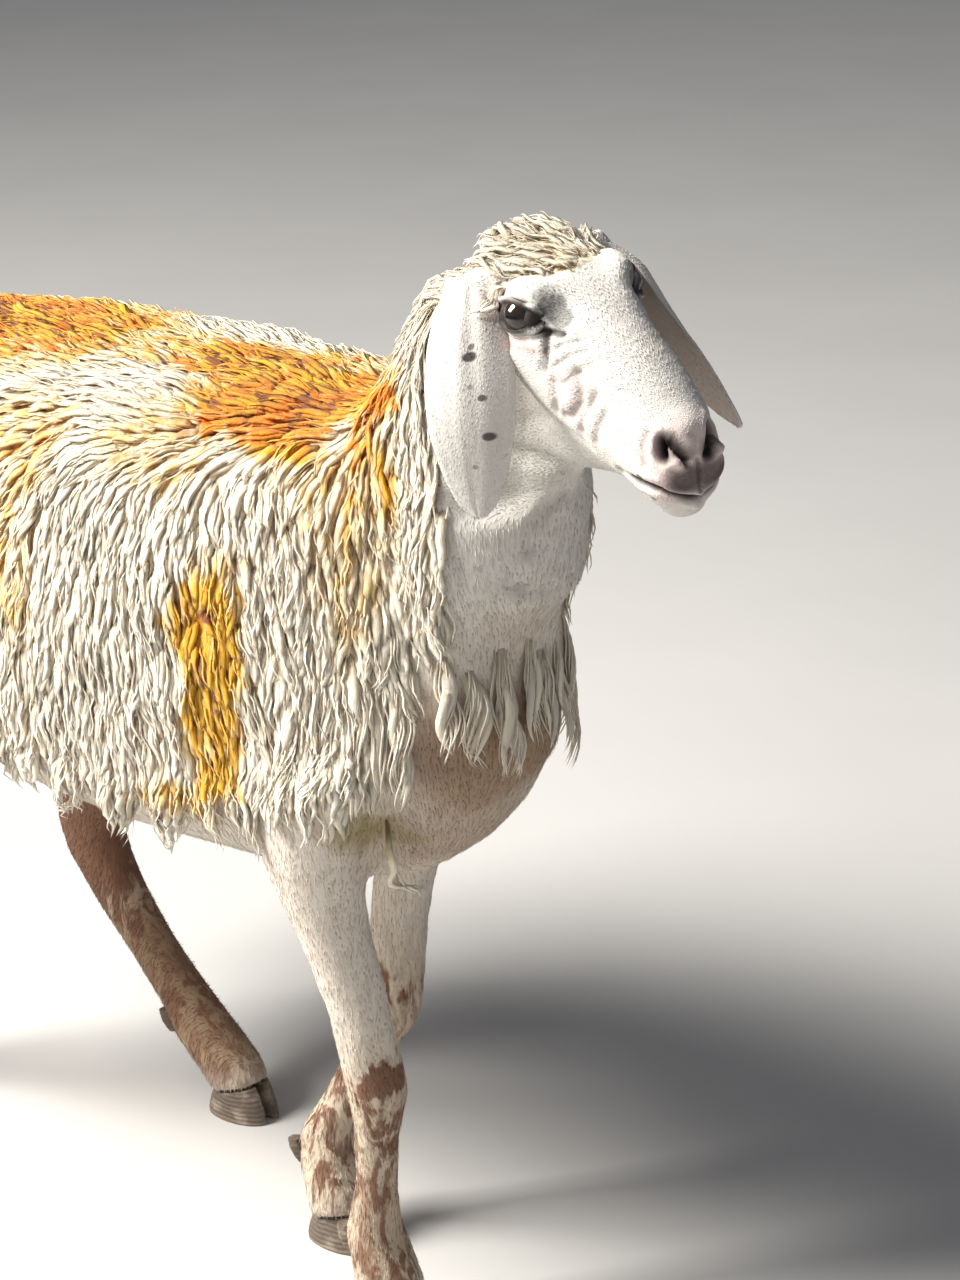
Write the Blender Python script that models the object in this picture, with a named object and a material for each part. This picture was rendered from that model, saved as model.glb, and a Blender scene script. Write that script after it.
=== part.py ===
"""A fat-tailed, lop-eared ewe in patchy short fleece, caught in a slow walk, life size.

Metres, +Z up. She faces +X and her left side is at +Y. The soles stand on z = 0, and the origin
lies on the floor below the middle of her bounding box. The flesh is lofted from named stations,
fused into one skin and then parted by thin cuts into the pieces a person would name.
"""

import math

import bmesh
import bpy
import numpy as np
from mathutils import Matrix, Vector

# ---- driving dimensions -------------------------------------------------------------------
GAP = 0.0004                 # clear space between neighbours
BACK_HEIGHT = 0.762          # floor to the tips of the fleece on the back
EAR_LENGTH = 0.150
EAR_HALF_WIDTH = 0.031
EAR_THICKNESS = 0.0062
EYE_RADIUS = 0.0138
CLAW_LENGTH = 0.064
CLAW_WIDTH = 0.0245
CLAW_FRONT_HEIGHT = 0.036
CLAW_HEEL_HEIGHT = 0.020
CLEFT = 0.0022               # slit between the two claws of a foot

# ---- detail of the fused skin -------------------------------------------------------------
BODY_VOXEL = 0.0058
HEAD_VOXEL = 0.0032
RING_POINTS = 28
SHARP_ANGLE = math.radians(50)   # faces that meet at more than this keep a hard edge
HEAD_TRIANGLES = 3040        # of the head and neck together, before the cut
BODY_TRIANGLES = 3740        # of the whole animal, before the cuts
LEG_TRIANGLES = 3680

# ---- trunk: (along, top, belly, half width, height of the widest line) --------------------
TRUNK = (
    (-0.412, 0.640, 0.560, 0.050, 0.600),
    (-0.398, 0.682, 0.505, 0.098, 0.598),
    (-0.365, 0.715, 0.465, 0.132, 0.594),
    (-0.310, 0.738, 0.430, 0.154, 0.588),
    (-0.235, 0.750, 0.395, 0.168, 0.574),
    (-0.145, 0.756, 0.374, 0.178, 0.558),
    (-0.050, 0.758, 0.366, 0.182, 0.548),
    (0.045, BACK_HEIGHT - 0.002, 0.364, 0.178, 0.542),
    (0.130, BACK_HEIGHT, 0.364, 0.160, 0.542),
    (0.205, 0.764, 0.364, 0.138, 0.542),
    (0.270, 0.748, 0.376, 0.114, 0.546),
    (0.318, 0.692, 0.408, 0.094, 0.550),
    (0.354, 0.642, 0.450, 0.068, 0.555),
    (0.376, 0.600, 0.505, 0.036, 0.555),
)
TRUNK_FULLNESS = 2.25
# the fleece that hangs over the sides: (along, top, hem, half width, height of the widest line)
MANTLE = (
    (-0.375, 0.700, 0.560, 0.112, 0.615),
    (-0.310, 0.735, 0.505, 0.160, 0.588),
    (-0.225, 0.748, 0.478, 0.180, 0.560),
    (-0.135, 0.754, 0.458, 0.191, 0.540),
    (-0.040, 0.757, 0.442, 0.196, 0.525),
    (0.055, 0.760, 0.430, 0.192, 0.515),
    (0.145, 0.760, 0.428, 0.178, 0.510),
    (0.220, 0.760, 0.434, 0.154, 0.515),
    (0.282, 0.738, 0.448, 0.130, 0.525),
    (0.334, 0.680, 0.460, 0.096, 0.540),
    (0.370, 0.630, 0.478, 0.062, 0.550),
    (0.388, 0.590, 0.508, 0.034, 0.555),
)
MANTLE_FULLNESS = 2.7

# ---- neck: (x, y, z, half depth towards the nape, towards the throat, half width) ---------
NECK = (
    (0.190, 0.000, 0.575, 0.140, 0.145, 0.122),
    (0.246, 0.000, 0.632, 0.098, 0.145, 0.106),
    (0.292, 0.000, 0.694, 0.076, 0.144, 0.088),
    (0.330, -0.002, 0.752, 0.066, 0.114, 0.076),
    (0.356, -0.004, 0.802, 0.062, 0.087, 0.067),
    (0.376, -0.006, 0.838, 0.052, 0.062, 0.058),
)
# hanging locks of the bib: rows of (height of the tips, forward place, half width of the row)
BIB_ROWS = (
    (0.448, 0.336, 0.074, 9),
    (0.512, 0.370, 0.054, 7),
)
BIB_CURVE = 0.055            # how far the ends of a row stand behind its middle
BIB_UNEVEN = 0.012           # how much the tips of a row differ in height
LOCK_LENGTH = 0.105
LOCK_RADIUS = 0.015
LOCK_TAPER = ((0, 0.8), (0.3, 1.0), (0.7, 0.8), (0.92, 0.45), (1.0, 0.1))   # (share, width)
LOCK_FLATNESS = 0.7
LOCK_POINTS = 10
HEM_LOCKS = 13
HEM_BACK = -0.27
HEM_FRONT = 0.29
HEM_LOCK_ROOT = 0.080        # from the hem up to the root of its locks
HEM_LOCK_TIP = 0.012
HEM_LOCK_DROP = 0.018
HEM_LOCK_INSET = 0.020       # from the widest line of the fleece in to the locks' middle
HEM_LOCK_RADIUS = 0.019

# ---- head, in its own frame: x along the face from the poll, y left, z up -----------------
HEAD_PLACE = (0.396, -0.002, 0.864)
HEAD_TURN = (7.0, 9.2, -15.0)     # roll, nose-down pitch and yaw, in degrees
HEAD_SCALE = 0.90
# (along, crown, brow half width, brow height, cheek half width, cheek height,
#  jaw half width, jaw height, underside)
HEAD = (
    (-0.050, -0.015, 0.020, -0.028, 0.034, -0.070, 0.024, -0.112, -0.126),
    (-0.030, 0.010, 0.032, -0.002, 0.047, -0.058, 0.036, -0.124, -0.144),
    (0.000, 0.025, 0.038, 0.009, 0.054, -0.048, 0.043, -0.134, -0.158),
    (0.030, 0.028, 0.038, 0.012, 0.057, -0.044, 0.046, -0.134, -0.160),
    (0.060, 0.024, 0.037, 0.006, 0.057, -0.046, 0.045, -0.128, -0.152),
    (0.090, 0.013, 0.034, -0.004, 0.051, -0.054, 0.040, -0.120, -0.142),
    (0.120, -0.001, 0.031, -0.015, 0.044, -0.064, 0.034, -0.114, -0.133),
    (0.150, -0.014, 0.029, -0.027, 0.039, -0.072, 0.030, -0.110, -0.127),
    (0.176, -0.028, 0.028, -0.040, 0.035, -0.080, 0.028, -0.109, -0.124),
    (0.196, -0.040, 0.027, -0.051, 0.033, -0.086, 0.027, -0.111, -0.124),
    (0.212, -0.054, 0.024, -0.064, 0.029, -0.092, 0.023, -0.110, -0.120),
    (0.224, -0.074, 0.017, -0.080, 0.022, -0.094, 0.016, -0.104, -0.110),
)
EYE_PLACE = (0.063, 0.0430, -0.012)
EAR_ROOT = (0.0195, 0.062, -0.004)
CHIN_PLACE = (0.197, 0.0, -0.117)
CHIN_RADII = (0.020, 0.016, 0.011)
FORELOCK_PLACE = (0.000, 0.0, 0.016)
FORELOCK_RADII = (0.036, 0.038, 0.013)

COLOURS = {
    "fleece": ((0.80, 0.70, 0.55), 0.95),
    "face_hair": ((0.86, 0.83, 0.79), 0.85),
    "leg_hair": ((0.55, 0.42, 0.31), 0.90),
    "claw_horn": ((0.16, 0.12, 0.09), 0.60),
    "eye": ((0.03, 0.025, 0.02), 0.10),
}


# ---- small tools --------------------------------------------------------------------------
def clear_scene():
    for thing in list(bpy.data.objects):
        bpy.data.objects.remove(thing, do_unlink=True)


def material(name):
    """The Principled material of one finish."""
    found = bpy.data.materials.get(name)
    if found:
        return found
    colour, roughness = COLOURS[name]
    made = bpy.data.materials.new(name)
    made.use_nodes = True
    shader = made.node_tree.nodes["Principled BSDF"]
    shader.inputs["Base Color"].default_value = (*colour, 1.0)
    shader.inputs["Roughness"].default_value = roughness
    shader.inputs["Metallic"].default_value = 0.0
    return made


def smooth_rows(rows, count):
    """Rows read evenly from a Catmull-Rom curve through the given rows."""
    table = np.array(rows, dtype=float)
    padded = np.vstack([2 * table[0] - table[1], table, 2 * table[-1] - table[-2]])
    out = []
    for place in np.linspace(0, len(table) - 1, count):
        cell = min(int(place), len(table) - 2)
        t = place - cell
        a, b, c, d = padded[cell:cell + 4]
        out.append(0.5 * (2 * b + (c - a) * t + (2 * a - 5 * b + 4 * c - d) * t**2
                          + (3 * b - a - 3 * c + d) * t**3))
    return out


def oval(centre, across, up, half_width, rise, drop, fullness=2.0, count=RING_POINTS):
    """A superellipse ring; its upper half is `rise` high and its lower half `drop` deep."""
    ring = []
    for step in range(count):
        angle = math.tau * step / count
        sideways = math.copysign(abs(math.cos(angle)) ** (2 / fullness), math.cos(angle))
        upwards = math.copysign(abs(math.sin(angle)) ** (2 / fullness), math.sin(angle))
        height = rise if upwards > 0 else drop
        ring.append(Vector(centre) + Vector(across) * half_width * sideways
                    + Vector(up) * height * upwards)
    return ring


def mesh_object(name, shape):
    """An object for a bmesh whose faces are turned outwards."""
    bmesh.ops.recalc_face_normals(shape, faces=shape.faces[:])
    mesh = bpy.data.meshes.new(name)
    shape.to_mesh(mesh)
    shape.free()
    made = bpy.data.objects.new(name, mesh)
    bpy.context.scene.collection.objects.link(made)
    return made


def loft(name, rings):
    """A closed skin through rings of equal count, with filled ends."""
    shape = bmesh.new()
    loops = [[shape.verts.new(point) for point in ring] for ring in rings]
    for near, far in zip(loops, loops[1:]):
        for index in range(len(near)):
            after = (index + 1) % len(near)
            shape.faces.new((near[index], near[after], far[after], far[index]))
    shape.faces.new(loops[0])
    shape.faces.new(loops[-1])
    return mesh_object(name, shape)


def path_loft(name, rows, count, fullness=2.0):
    """A loft along a path of (x, y, z, half depth, half depth on the other side, half width).

    On a path that runs down the first depth is towards the head; on one that runs up, as the
    neck does, it is towards the nape.
    """
    table = smooth_rows(rows, count)
    points = [Vector(row[:3]) for row in table]
    rings = []
    for index, row in enumerate(table):
        ahead = points[min(index + 1, count - 1)] - points[max(index - 1, 0)]
        ahead.normalize()
        across = Vector((0, 1, 0)) - ahead * ahead.y
        across.normalize()
        behind = across.cross(ahead)
        rings.append(oval(points[index], across, behind, row[5], row[4], row[3], fullness))
    return loft(name, rings)


def ball(name, centre, radii, turn=None, segments=20, rings=12):
    """An ellipsoid."""
    shape = bmesh.new()
    bmesh.ops.create_uvsphere(shape, u_segments=segments, v_segments=rings, radius=1.0)
    place = Matrix.Translation(Vector(centre))
    place @= (turn or Matrix.Identity(3)).to_4x4()
    place @= Matrix.Diagonal((*radii, 1.0))
    bmesh.ops.transform(shape, matrix=place, verts=shape.verts[:])
    return mesh_object(name, shape)


def evaluated_copy(source, name):
    """A plain object holding what the modifiers of `source` give."""
    bpy.context.view_layer.update()
    graph = bpy.context.evaluated_depsgraph_get()
    mesh = bpy.data.meshes.new_from_object(source.evaluated_get(graph))
    mesh.name = name
    made = bpy.data.objects.new(name, mesh)
    bpy.context.scene.collection.objects.link(made)
    return made


def remove(thing):
    bpy.data.objects.remove(thing, do_unlink=True)


def settle(thing, name):
    """Replace an object by its evaluated copy."""
    made = evaluated_copy(thing, name + "_settled")
    remove(thing)
    made.name = name
    made.data.name = name
    return made


def join(things, name):
    """One object holding all the given meshes as loose shells."""
    shape = bmesh.new()
    for thing in things:
        shape.from_mesh(thing.data)
    for thing in things:
        remove(thing)
    return mesh_object(name, shape)


def fuse(things, name, voxel, passes):
    """The union of overlapping closed shells as one dense, relaxed skin."""
    whole = join(things, name)
    remesh = whole.modifiers.new("Fuse", "REMESH")
    remesh.mode = "VOXEL"
    remesh.voxel_size = voxel
    relax = whole.modifiers.new("Relax", "SMOOTH")
    relax.factor = 0.5
    relax.iterations = passes
    return settle(whole, name)


def thinned(source, name, triangles):
    """A copy of a dense skin brought down to about `triangles`."""
    made = copy_of(source, name)
    faces = sum(len(face.vertices) - 2 for face in made.data.polygons)
    thin = made.modifiers.new("Thin", "DECIMATE")
    thin.ratio = min(1.0, triangles / faces)
    thin.use_collapse_triangulate = True
    return settle(made, name)


def boolean(target, cutter, operation):
    """Apply an exact Boolean with a cutter to the target."""
    cutter.hide_render = True
    cutter.display_type = "WIRE"
    cut = target.modifiers.new("Cut", "BOOLEAN")
    cut.operation = operation
    cut.solver = "EXACT"
    cut.object = cutter
    return settle(target, target.name)


def keep(target, cutter):
    made = boolean(target, cutter, "INTERSECT")
    remove(cutter)
    return made


def carve(target, cutter):
    made = boolean(target, cutter, "DIFFERENCE")
    remove(cutter)
    return made


def copy_of(source, name):
    made = source.copy()
    made.data = source.data.copy()
    made.name = name
    bpy.context.scene.collection.objects.link(made)
    return made


def beyond(point, normal, reach=0.6):
    """A box that fills the space on the side of a plane that its normal points to."""
    shape = bmesh.new()
    bmesh.ops.create_cube(shape, size=2 * reach)
    turn = Vector(normal).normalized().to_track_quat("Z", "Y").to_matrix().to_4x4()
    centre = Vector(point) + Vector(normal).normalized() * reach
    bmesh.ops.transform(shape, matrix=Matrix.Translation(centre) @ turn, verts=shape.verts[:])
    return mesh_object("cutter", shape)


def hexahedron(top, bottom):
    """A convex cutter from four upper and four lower corners, in the same turning order."""
    return loft("cutter", [[Vector(p) for p in top], [Vector(p) for p in bottom]])


def largest_shell(thing):
    """Drop the crumbs that a cut leaves beside a node's own closed shell."""
    shape = bmesh.new()
    shape.from_mesh(thing.data)
    waiting = set(shape.verts)
    shells = []
    while waiting:
        shell = set()
        front = {waiting.pop()}
        while front:
            shell |= front
            front = {edge.other_vert(vert) for vert in front for edge in vert.link_edges} - shell
        waiting -= shell
        shells.append(shell)
    shells.sort(key=len)
    crumbs = [vert for shell in shells[:-1] for vert in shell]
    bmesh.ops.delete(shape, geom=crumbs, context="VERTS")
    shape.to_mesh(thing.data)
    shape.free()


def finish(thing, slot):
    """Give a finished node its material and its shading."""
    largest_shell(thing)
    thing.data.materials.clear()
    thing.data.materials.append(material(slot))
    thing.data.shade_smooth()
    thing.data.set_sharp_from_angle(angle=SHARP_ANGLE)


def centre_over_origin():
    """Slide every node so that the middle of the whole bounding box is above the origin."""
    nodes = [thing for thing in bpy.data.objects if thing.type == "MESH"]
    places = np.array([vert.co[:2] for thing in nodes for vert in thing.data.vertices])
    middle = (places.min(axis=0) + places.max(axis=0)) / 2
    slide = Matrix.Translation(Vector((-middle[0], -middle[1], 0.0)))
    for thing in nodes:
        thing.data.transform(slide)


# ---- the animal's forms -------------------------------------------------------------------
def body_rings(rows, count, fullness):
    rings = []
    for x, top, low, half_width, widest in smooth_rows(rows, count):
        centre = (x, 0, widest)
        rings.append(oval(centre, (0, 1, 0), (0, 0, 1), half_width, top - widest, widest - low,
                          fullness, 40))
    return rings


def trunk_forms():
    return [
        loft("barrel", body_rings(TRUNK, 40, TRUNK_FULLNESS)),
        loft("mantle", body_rings(MANTLE, 40, MANTLE_FULLNESS)),
    ]


def hanging_lock(root, tip, radius):
    """One tapered, slightly flat lock of fleece from its root to its tip."""
    root = Vector(root)
    tip = Vector(tip)
    rings = []
    for share, width in LOCK_TAPER:
        centre = root.lerp(tip, share)
        depth = radius * width * LOCK_FLATNESS
        rings.append(oval(centre, (0, 1, 0), (1, 0, 0), radius * width, depth, depth, 2.0,
                          LOCK_POINTS))
    return loft("lock", rings)


def fleece_locks():
    """The bib of long locks on the breast and the ragged hem along the sides."""
    locks = []
    for tip_height, ahead, half_row, count in BIB_ROWS:
        for index in range(count):
            across = 2 * index / (count - 1) - 1
            y = half_row * across
            x = ahead - BIB_CURVE * across**2
            drop = BIB_UNEVEN * math.sin(index * 2.4)
            root = (x - 0.8 * LOCK_RADIUS, y * 0.9, tip_height + LOCK_LENGTH)
            tip = (x - 0.4 * LOCK_RADIUS, y, tip_height + drop)
            locks.append(hanging_lock(root, tip, LOCK_RADIUS))
    for side in (-1, 1):
        for index in range(HEM_LOCKS):
            x = HEM_BACK + (HEM_FRONT - HEM_BACK) * index / (HEM_LOCKS - 1)
            hem = float(np.interp(x, [row[0] for row in MANTLE], [row[2] for row in MANTLE]))
            half = float(np.interp(x, [row[0] for row in MANTLE], [row[3] for row in MANTLE]))
            drop = HEM_LOCK_DROP * (1 + 0.6 * math.sin(index * 1.9 + side))
            root = (x, side * (half - HEM_LOCK_INSET), hem + HEM_LOCK_ROOT)
            tip = (x, side * (half - 1.3 * HEM_LOCK_INSET), hem + HEM_LOCK_TIP - drop)
            locks.append(hanging_lock(root, tip, HEM_LOCK_RADIUS))
    return locks


def neck_forms():
    return [path_loft("neck", NECK, 26, 2.1)]


def head_matrix():
    roll, pitch, yaw = (math.radians(angle) for angle in HEAD_TURN)
    turn = Matrix.Rotation(yaw, 4, "Z") @ Matrix.Rotation(pitch, 4, "Y")
    turn @= Matrix.Rotation(roll, 4, "X")
    return Matrix.Translation(HEAD_PLACE) @ turn @ Matrix.Scale(HEAD_SCALE, 4)


def head_point(place, side=1):
    """A place in the head's frame, mirrored to the side asked for, in world metres."""
    x, y, z = place
    return head_matrix() @ Vector((x, y * side, z))


HEAD_STEPS = 5               # points between two named places of a face section


def head_ring(row):
    """A face section through crown, brow, cheek, jaw and underside, the same on both sides."""
    x, crown, brow_y, brow_z, cheek_y, cheek_z, jaw_y, jaw_z, under = row
    half = [(0.0, crown), (brow_y, brow_z), (cheek_y, cheek_z), (jaw_y, jaw_z), (0.0, under)]
    around = half + [(-y, z) for y, z in reversed(half[1:-1])]
    closed = around[-2:] + around + around[:3]
    ring = []
    for cell in range(2, 2 + len(around)):
        a, b, c, d = (np.array(closed[cell + offset]) for offset in (-1, 0, 1, 2))
        for t in np.arange(HEAD_STEPS) / HEAD_STEPS:
            y, z = 0.5 * (2 * b + (c - a) * t + (2 * a - 5 * b + 4 * c - d) * t**2
                          + (3 * b - a - 3 * c + d) * t**3)
            ring.append(Vector((x, y, z)))
    return ring


def head_forms():
    """Skull, face, brows, cheek bones, nostril wings, lips and chin, in world metres."""
    place = head_matrix()
    turn = place.to_3x3().normalized()
    skull = loft("skull", [head_ring(row) for row in smooth_rows(HEAD, 40)])
    skull.data.transform(place)
    forms = [skull]
    bumps = (
        ("brow", (0.060, 0.030, 0.003), (0.026, 0.014, 0.012)),
        ("lower_lid", (0.070, 0.043, -0.030), (0.022, 0.010, 0.010)),
        ("cheek_bone", (0.106, 0.036, -0.062), (0.036, 0.010, 0.012)),
        ("nostril_wing", (0.215, 0.016, -0.076), (0.014, 0.011, 0.013)),
        ("upper_lip", (0.212, 0.013, -0.096), (0.017, 0.013, 0.012)),
        ("ear_root", (0.014, 0.048, -0.008), (0.022, 0.018, 0.024)),
    )
    for name, centre, radii in bumps:
        for side in (1, -1):
            size = [value * HEAD_SCALE for value in radii]
            forms.append(ball(name, head_point(centre, side), size, turn))
    forms.append(ball("chin", head_point(CHIN_PLACE), CHIN_RADII, turn))
    forms.append(ball("forelock", head_point(FORELOCK_PLACE), FORELOCK_RADII, turn))
    return forms


# legs: (x, y, z, half depth ahead, half depth behind, half width) from the body to the foot
LEGS = {
    "front_right": (
        (0.272, -0.080, 0.590, 0.074, 0.060, 0.036),
        (0.256, -0.098, 0.500, 0.066, 0.058, 0.042),
        (0.248, -0.099, 0.430, 0.048, 0.044, 0.037),
        (0.254, -0.090, 0.365, 0.031, 0.032, 0.029),
        (0.261, -0.077, 0.300, 0.026, 0.024, 0.025),
        (0.264, -0.067, 0.240, 0.026, 0.024, 0.025),
        (0.265, -0.062, 0.208, 0.025, 0.024, 0.025),
        (0.260, -0.060, 0.175, 0.018, 0.020, 0.020),
        (0.254, -0.058, 0.130, 0.018, 0.019, 0.018),
        (0.248, -0.056, 0.095, 0.021, 0.024, 0.022),
        (0.248, -0.056, 0.078, 0.023, 0.027, 0.025),
        (0.256, -0.056, 0.055, 0.024, 0.025, 0.027),
        (0.260, -0.056, 0.036, 0.030, 0.026, 0.029),
        (0.260, -0.056, 0.018, 0.028, 0.024, 0.027),
    ),
    "front_left": (
        (0.252, 0.080, 0.590, 0.074, 0.060, 0.036),
        (0.210, 0.094, 0.500, 0.066, 0.056, 0.042),
        (0.182, 0.090, 0.430, 0.050, 0.038, 0.037),
        (0.171, 0.080, 0.365, 0.034, 0.029, 0.029),
        (0.165, 0.068, 0.300, 0.025, 0.026, 0.025),
        (0.164, 0.058, 0.238, 0.025, 0.024, 0.025),
        (0.163, 0.052, 0.206, 0.025, 0.024, 0.025),
        (0.149, 0.043, 0.172, 0.018, 0.020, 0.020),
        (0.130, 0.030, 0.128, 0.018, 0.019, 0.018),
        (0.117, 0.021, 0.095, 0.021, 0.024, 0.022),
        (0.115, 0.017, 0.078, 0.023, 0.027, 0.025),
        (0.124, 0.013, 0.055, 0.024, 0.025, 0.027),
        (0.130, 0.012, 0.036, 0.030, 0.026, 0.029),
        (0.130, 0.012, 0.018, 0.028, 0.024, 0.027),
    ),
    "hind_left": (
        (-0.305, 0.080, 0.610, 0.080, 0.085, 0.058),
        (-0.255, 0.105, 0.520, 0.100, 0.095, 0.058),
        (-0.215, 0.115, 0.430, 0.082, 0.076, 0.052),
        (-0.224, 0.112, 0.350, 0.060, 0.054, 0.042),
        (-0.254, 0.107, 0.285, 0.038, 0.044, 0.033),
        (-0.272, 0.104, 0.238, 0.033, 0.042, 0.028),
        (-0.250, 0.102, 0.190, 0.027, 0.030, 0.024),
        (-0.204, 0.102, 0.140, 0.022, 0.026, 0.021),
        (-0.160, 0.102, 0.098, 0.022, 0.028, 0.023),
        (-0.143, 0.102, 0.080, 0.024, 0.030, 0.026),
        (-0.117, 0.103, 0.056, 0.024, 0.028, 0.027),
        (-0.098, 0.104, 0.036, 0.028, 0.028, 0.028),
        (-0.094, 0.104, 0.018, 0.027, 0.026, 0.026),
    ),
    "hind_right": (
        (-0.310, -0.080, 0.610, 0.078, 0.085, 0.058),
        (-0.288, -0.105, 0.520, 0.098, 0.098, 0.058),
        (-0.285, -0.115, 0.430, 0.082, 0.080, 0.052),
        (-0.320, -0.112, 0.355, 0.058, 0.055, 0.042),
        (-0.364, -0.106, 0.300, 0.038, 0.042, 0.033),
        (-0.392, -0.100, 0.252, 0.031, 0.038, 0.028),
        (-0.400, -0.096, 0.205, 0.025, 0.028, 0.024),
        (-0.414, -0.091, 0.150, 0.020, 0.023, 0.021),
        (-0.430, -0.088, 0.103, 0.021, 0.025, 0.023),
        (-0.434, -0.086, 0.082, 0.024, 0.028, 0.026),
        (-0.424, -0.085, 0.056, 0.024, 0.026, 0.027),
        (-0.418, -0.085, 0.036, 0.029, 0.027, 0.028),
        (-0.418, -0.085, 0.018, 0.027, 0.025, 0.026),
    ),
}


def leg_forms():
    return [path_loft(name, rows, 44, 2.1) for name, rows in LEGS.items()]


# fat tail: (x, z, half thickness, half width of one lobe, offset of the lobe from the middle)
TAIL = (
    (-0.372, 0.690, 0.030, 0.036, 0.014),
    (-0.410, 0.655, 0.042, 0.046, 0.030),
    (-0.438, 0.602, 0.048, 0.054, 0.044),
    (-0.450, 0.545, 0.049, 0.058, 0.052),
    (-0.448, 0.492, 0.043, 0.053, 0.050),
    (-0.440, 0.455, 0.028, 0.040, 0.043),
    (-0.435, 0.440, 0.012, 0.018, 0.040),
)
TAIL_TIP = (
    (-0.456, 0.0, 0.520, 0.020, 0.020, 0.022),
    (-0.468, 0.0, 0.470, 0.017, 0.017, 0.019),
    (-0.468, 0.0, 0.430, 0.013, 0.013, 0.014),
    (-0.460, 0.0, 0.405, 0.008, 0.008, 0.009),
)


def tail_forms():
    """Two fat lobes with a groove between them, and the thin tip that hangs from it."""
    forms = [path_loft("tail_tip", TAIL_TIP, 12)]
    for side in (1, -1):
        rows = [(x, side * offset, z, thick, thick, half) for x, z, thick, half, offset in TAIL]
        forms.append(path_loft("tail_lobe", rows, 22))
    return forms


# ---- the separate pieces ------------------------------------------------------------------
# ear: (share of its length, share of its half width)
EAR_PROFILE = ((0.00, 0.60), (0.08, 0.74), (0.22, 0.92), (0.42, 1.00), (0.60, 0.94),
               (0.78, 0.72), (0.92, 0.42), (0.98, 0.22), (1.00, 0.10))
EAR_RINGS = 11
EAR_ACROSS = 5
EAR_BOW = 0.24               # depth of its curve across, of its half width
EAR_THIN_RIM = 0.75          # share of its thickness that the rim lacks


def make_ear(root, lean, facing, swing):
    """A hanging leaf: a curved strip with a rounded tip, closed all round."""
    down = Vector(lean).normalized()
    outward = Vector(facing)
    outward = (outward - down * outward.dot(down)).normalized()
    broad = down.cross(outward).normalized()
    rings = []
    for share, width in smooth_rows(EAR_PROFILE, EAR_RINGS):
        half = EAR_HALF_WIDTH * width
        hang = swing * math.sin(math.pi * min(share, 1.0))
        centre = Vector(root) + down * EAR_LENGTH * share + outward * hang
        thick = EAR_THICKNESS * (0.75 + 0.75 * (1 - share) ** 3)
        outer = []
        inner = []
        for step in range(EAR_ACROSS):
            across = 2 * step / (EAR_ACROSS - 1) - 1
            bow = EAR_BOW * half * (1 - across**2) * (1.6 - share)
            edge = 0.5 * thick * (1 - EAR_THIN_RIM * across**2)
            spot = centre + broad * half * across + outward * bow
            outer.append(spot + outward * edge)
            inner.append(spot - outward * edge)
        rings.append(outer + inner[::-1])
    return loft("ear", rings)


CORONET_SLOPE = (CLAW_FRONT_HEIGHT - CLAW_HEEL_HEIGHT) / CLAW_LENGTH
CORONET_HEIGHT = (CLAW_FRONT_HEIGHT + CLAW_HEEL_HEIGHT) / 2
CLAW_FORWARD = 0.006         # from the middle of the leg's end to the middle of the claws
# how far each foot turns outwards, in degrees
HEADINGS = {"front_right": -5, "front_left": 4, "hind_left": 7, "hind_right": -7}
CLAW_LEVELS = ((0.0, 1.0, 1.0), (0.4, 0.95, 0.98), (1.0, 0.74, 0.86))  # (rise, reach, breadth)
CLAW_POINTS = 12
CLAW_INNER = 0.8             # breadth of the flatter inner wall against the outer
CLAW_TURN_IN = 0.14          # how far the toe turns to the cleft, of the width


def claw_rings(side):
    """Level rings of one claw, toe towards +x, its flatter face against the cleft."""
    rings = []
    for rise, reach, breadth in CLAW_LEVELS:
        ring = []
        for step in range(CLAW_POINTS):
            forward = math.cos(math.tau * step / CLAW_POINTS)
            outward = math.sin(math.tau * step / CLAW_POINTS)
            x = CLAW_LENGTH * 0.5 * (forward * reach - 0.06 * rise)
            half = CLAW_WIDTH * 0.5 * breadth
            y = half * (outward if outward > 0 else outward * CLAW_INNER)
            y += CLAW_WIDTH * 0.5 * CLAW_INNER
            y -= CLAW_TURN_IN * CLAW_WIDTH * max(forward, 0.0) ** 2
            y = max(y, 0.0)
            z = (CORONET_HEIGHT + CORONET_SLOPE * x) * rise
            ring.append(Vector((x, side * (y + CLEFT / 2), z)))
        rings.append(ring)
    return rings


def foot_frame(leg):
    """The frame of a foot on the floor: x towards the toes."""
    x, y = LEGS[leg][-2][:2]
    heading = Matrix.Rotation(math.radians(HEADINGS[leg]), 4, "Z")
    return Matrix.Translation(Vector((x, y, 0.0))) @ heading


def make_claw(name, leg, side):
    claw = loft(name, claw_rings(side))
    claw.data.transform(foot_frame(leg) @ Matrix.Translation(Vector((CLAW_FORWARD, 0, 0))))
    return claw


DEWCLAW_RADIUS = 0.0072
DEWCLAW_LENGTH = 0.020
DEWCLAW_SPREAD = 0.0125
DEWCLAW_SET_IN = 0.0045      # how deep its middle lies in the back of the fetlock
DEWCLAW_SLOPE = 0.35         # how far it leans back for its length
DEWCLAW_ROW = -4             # the station of the fetlock


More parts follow.
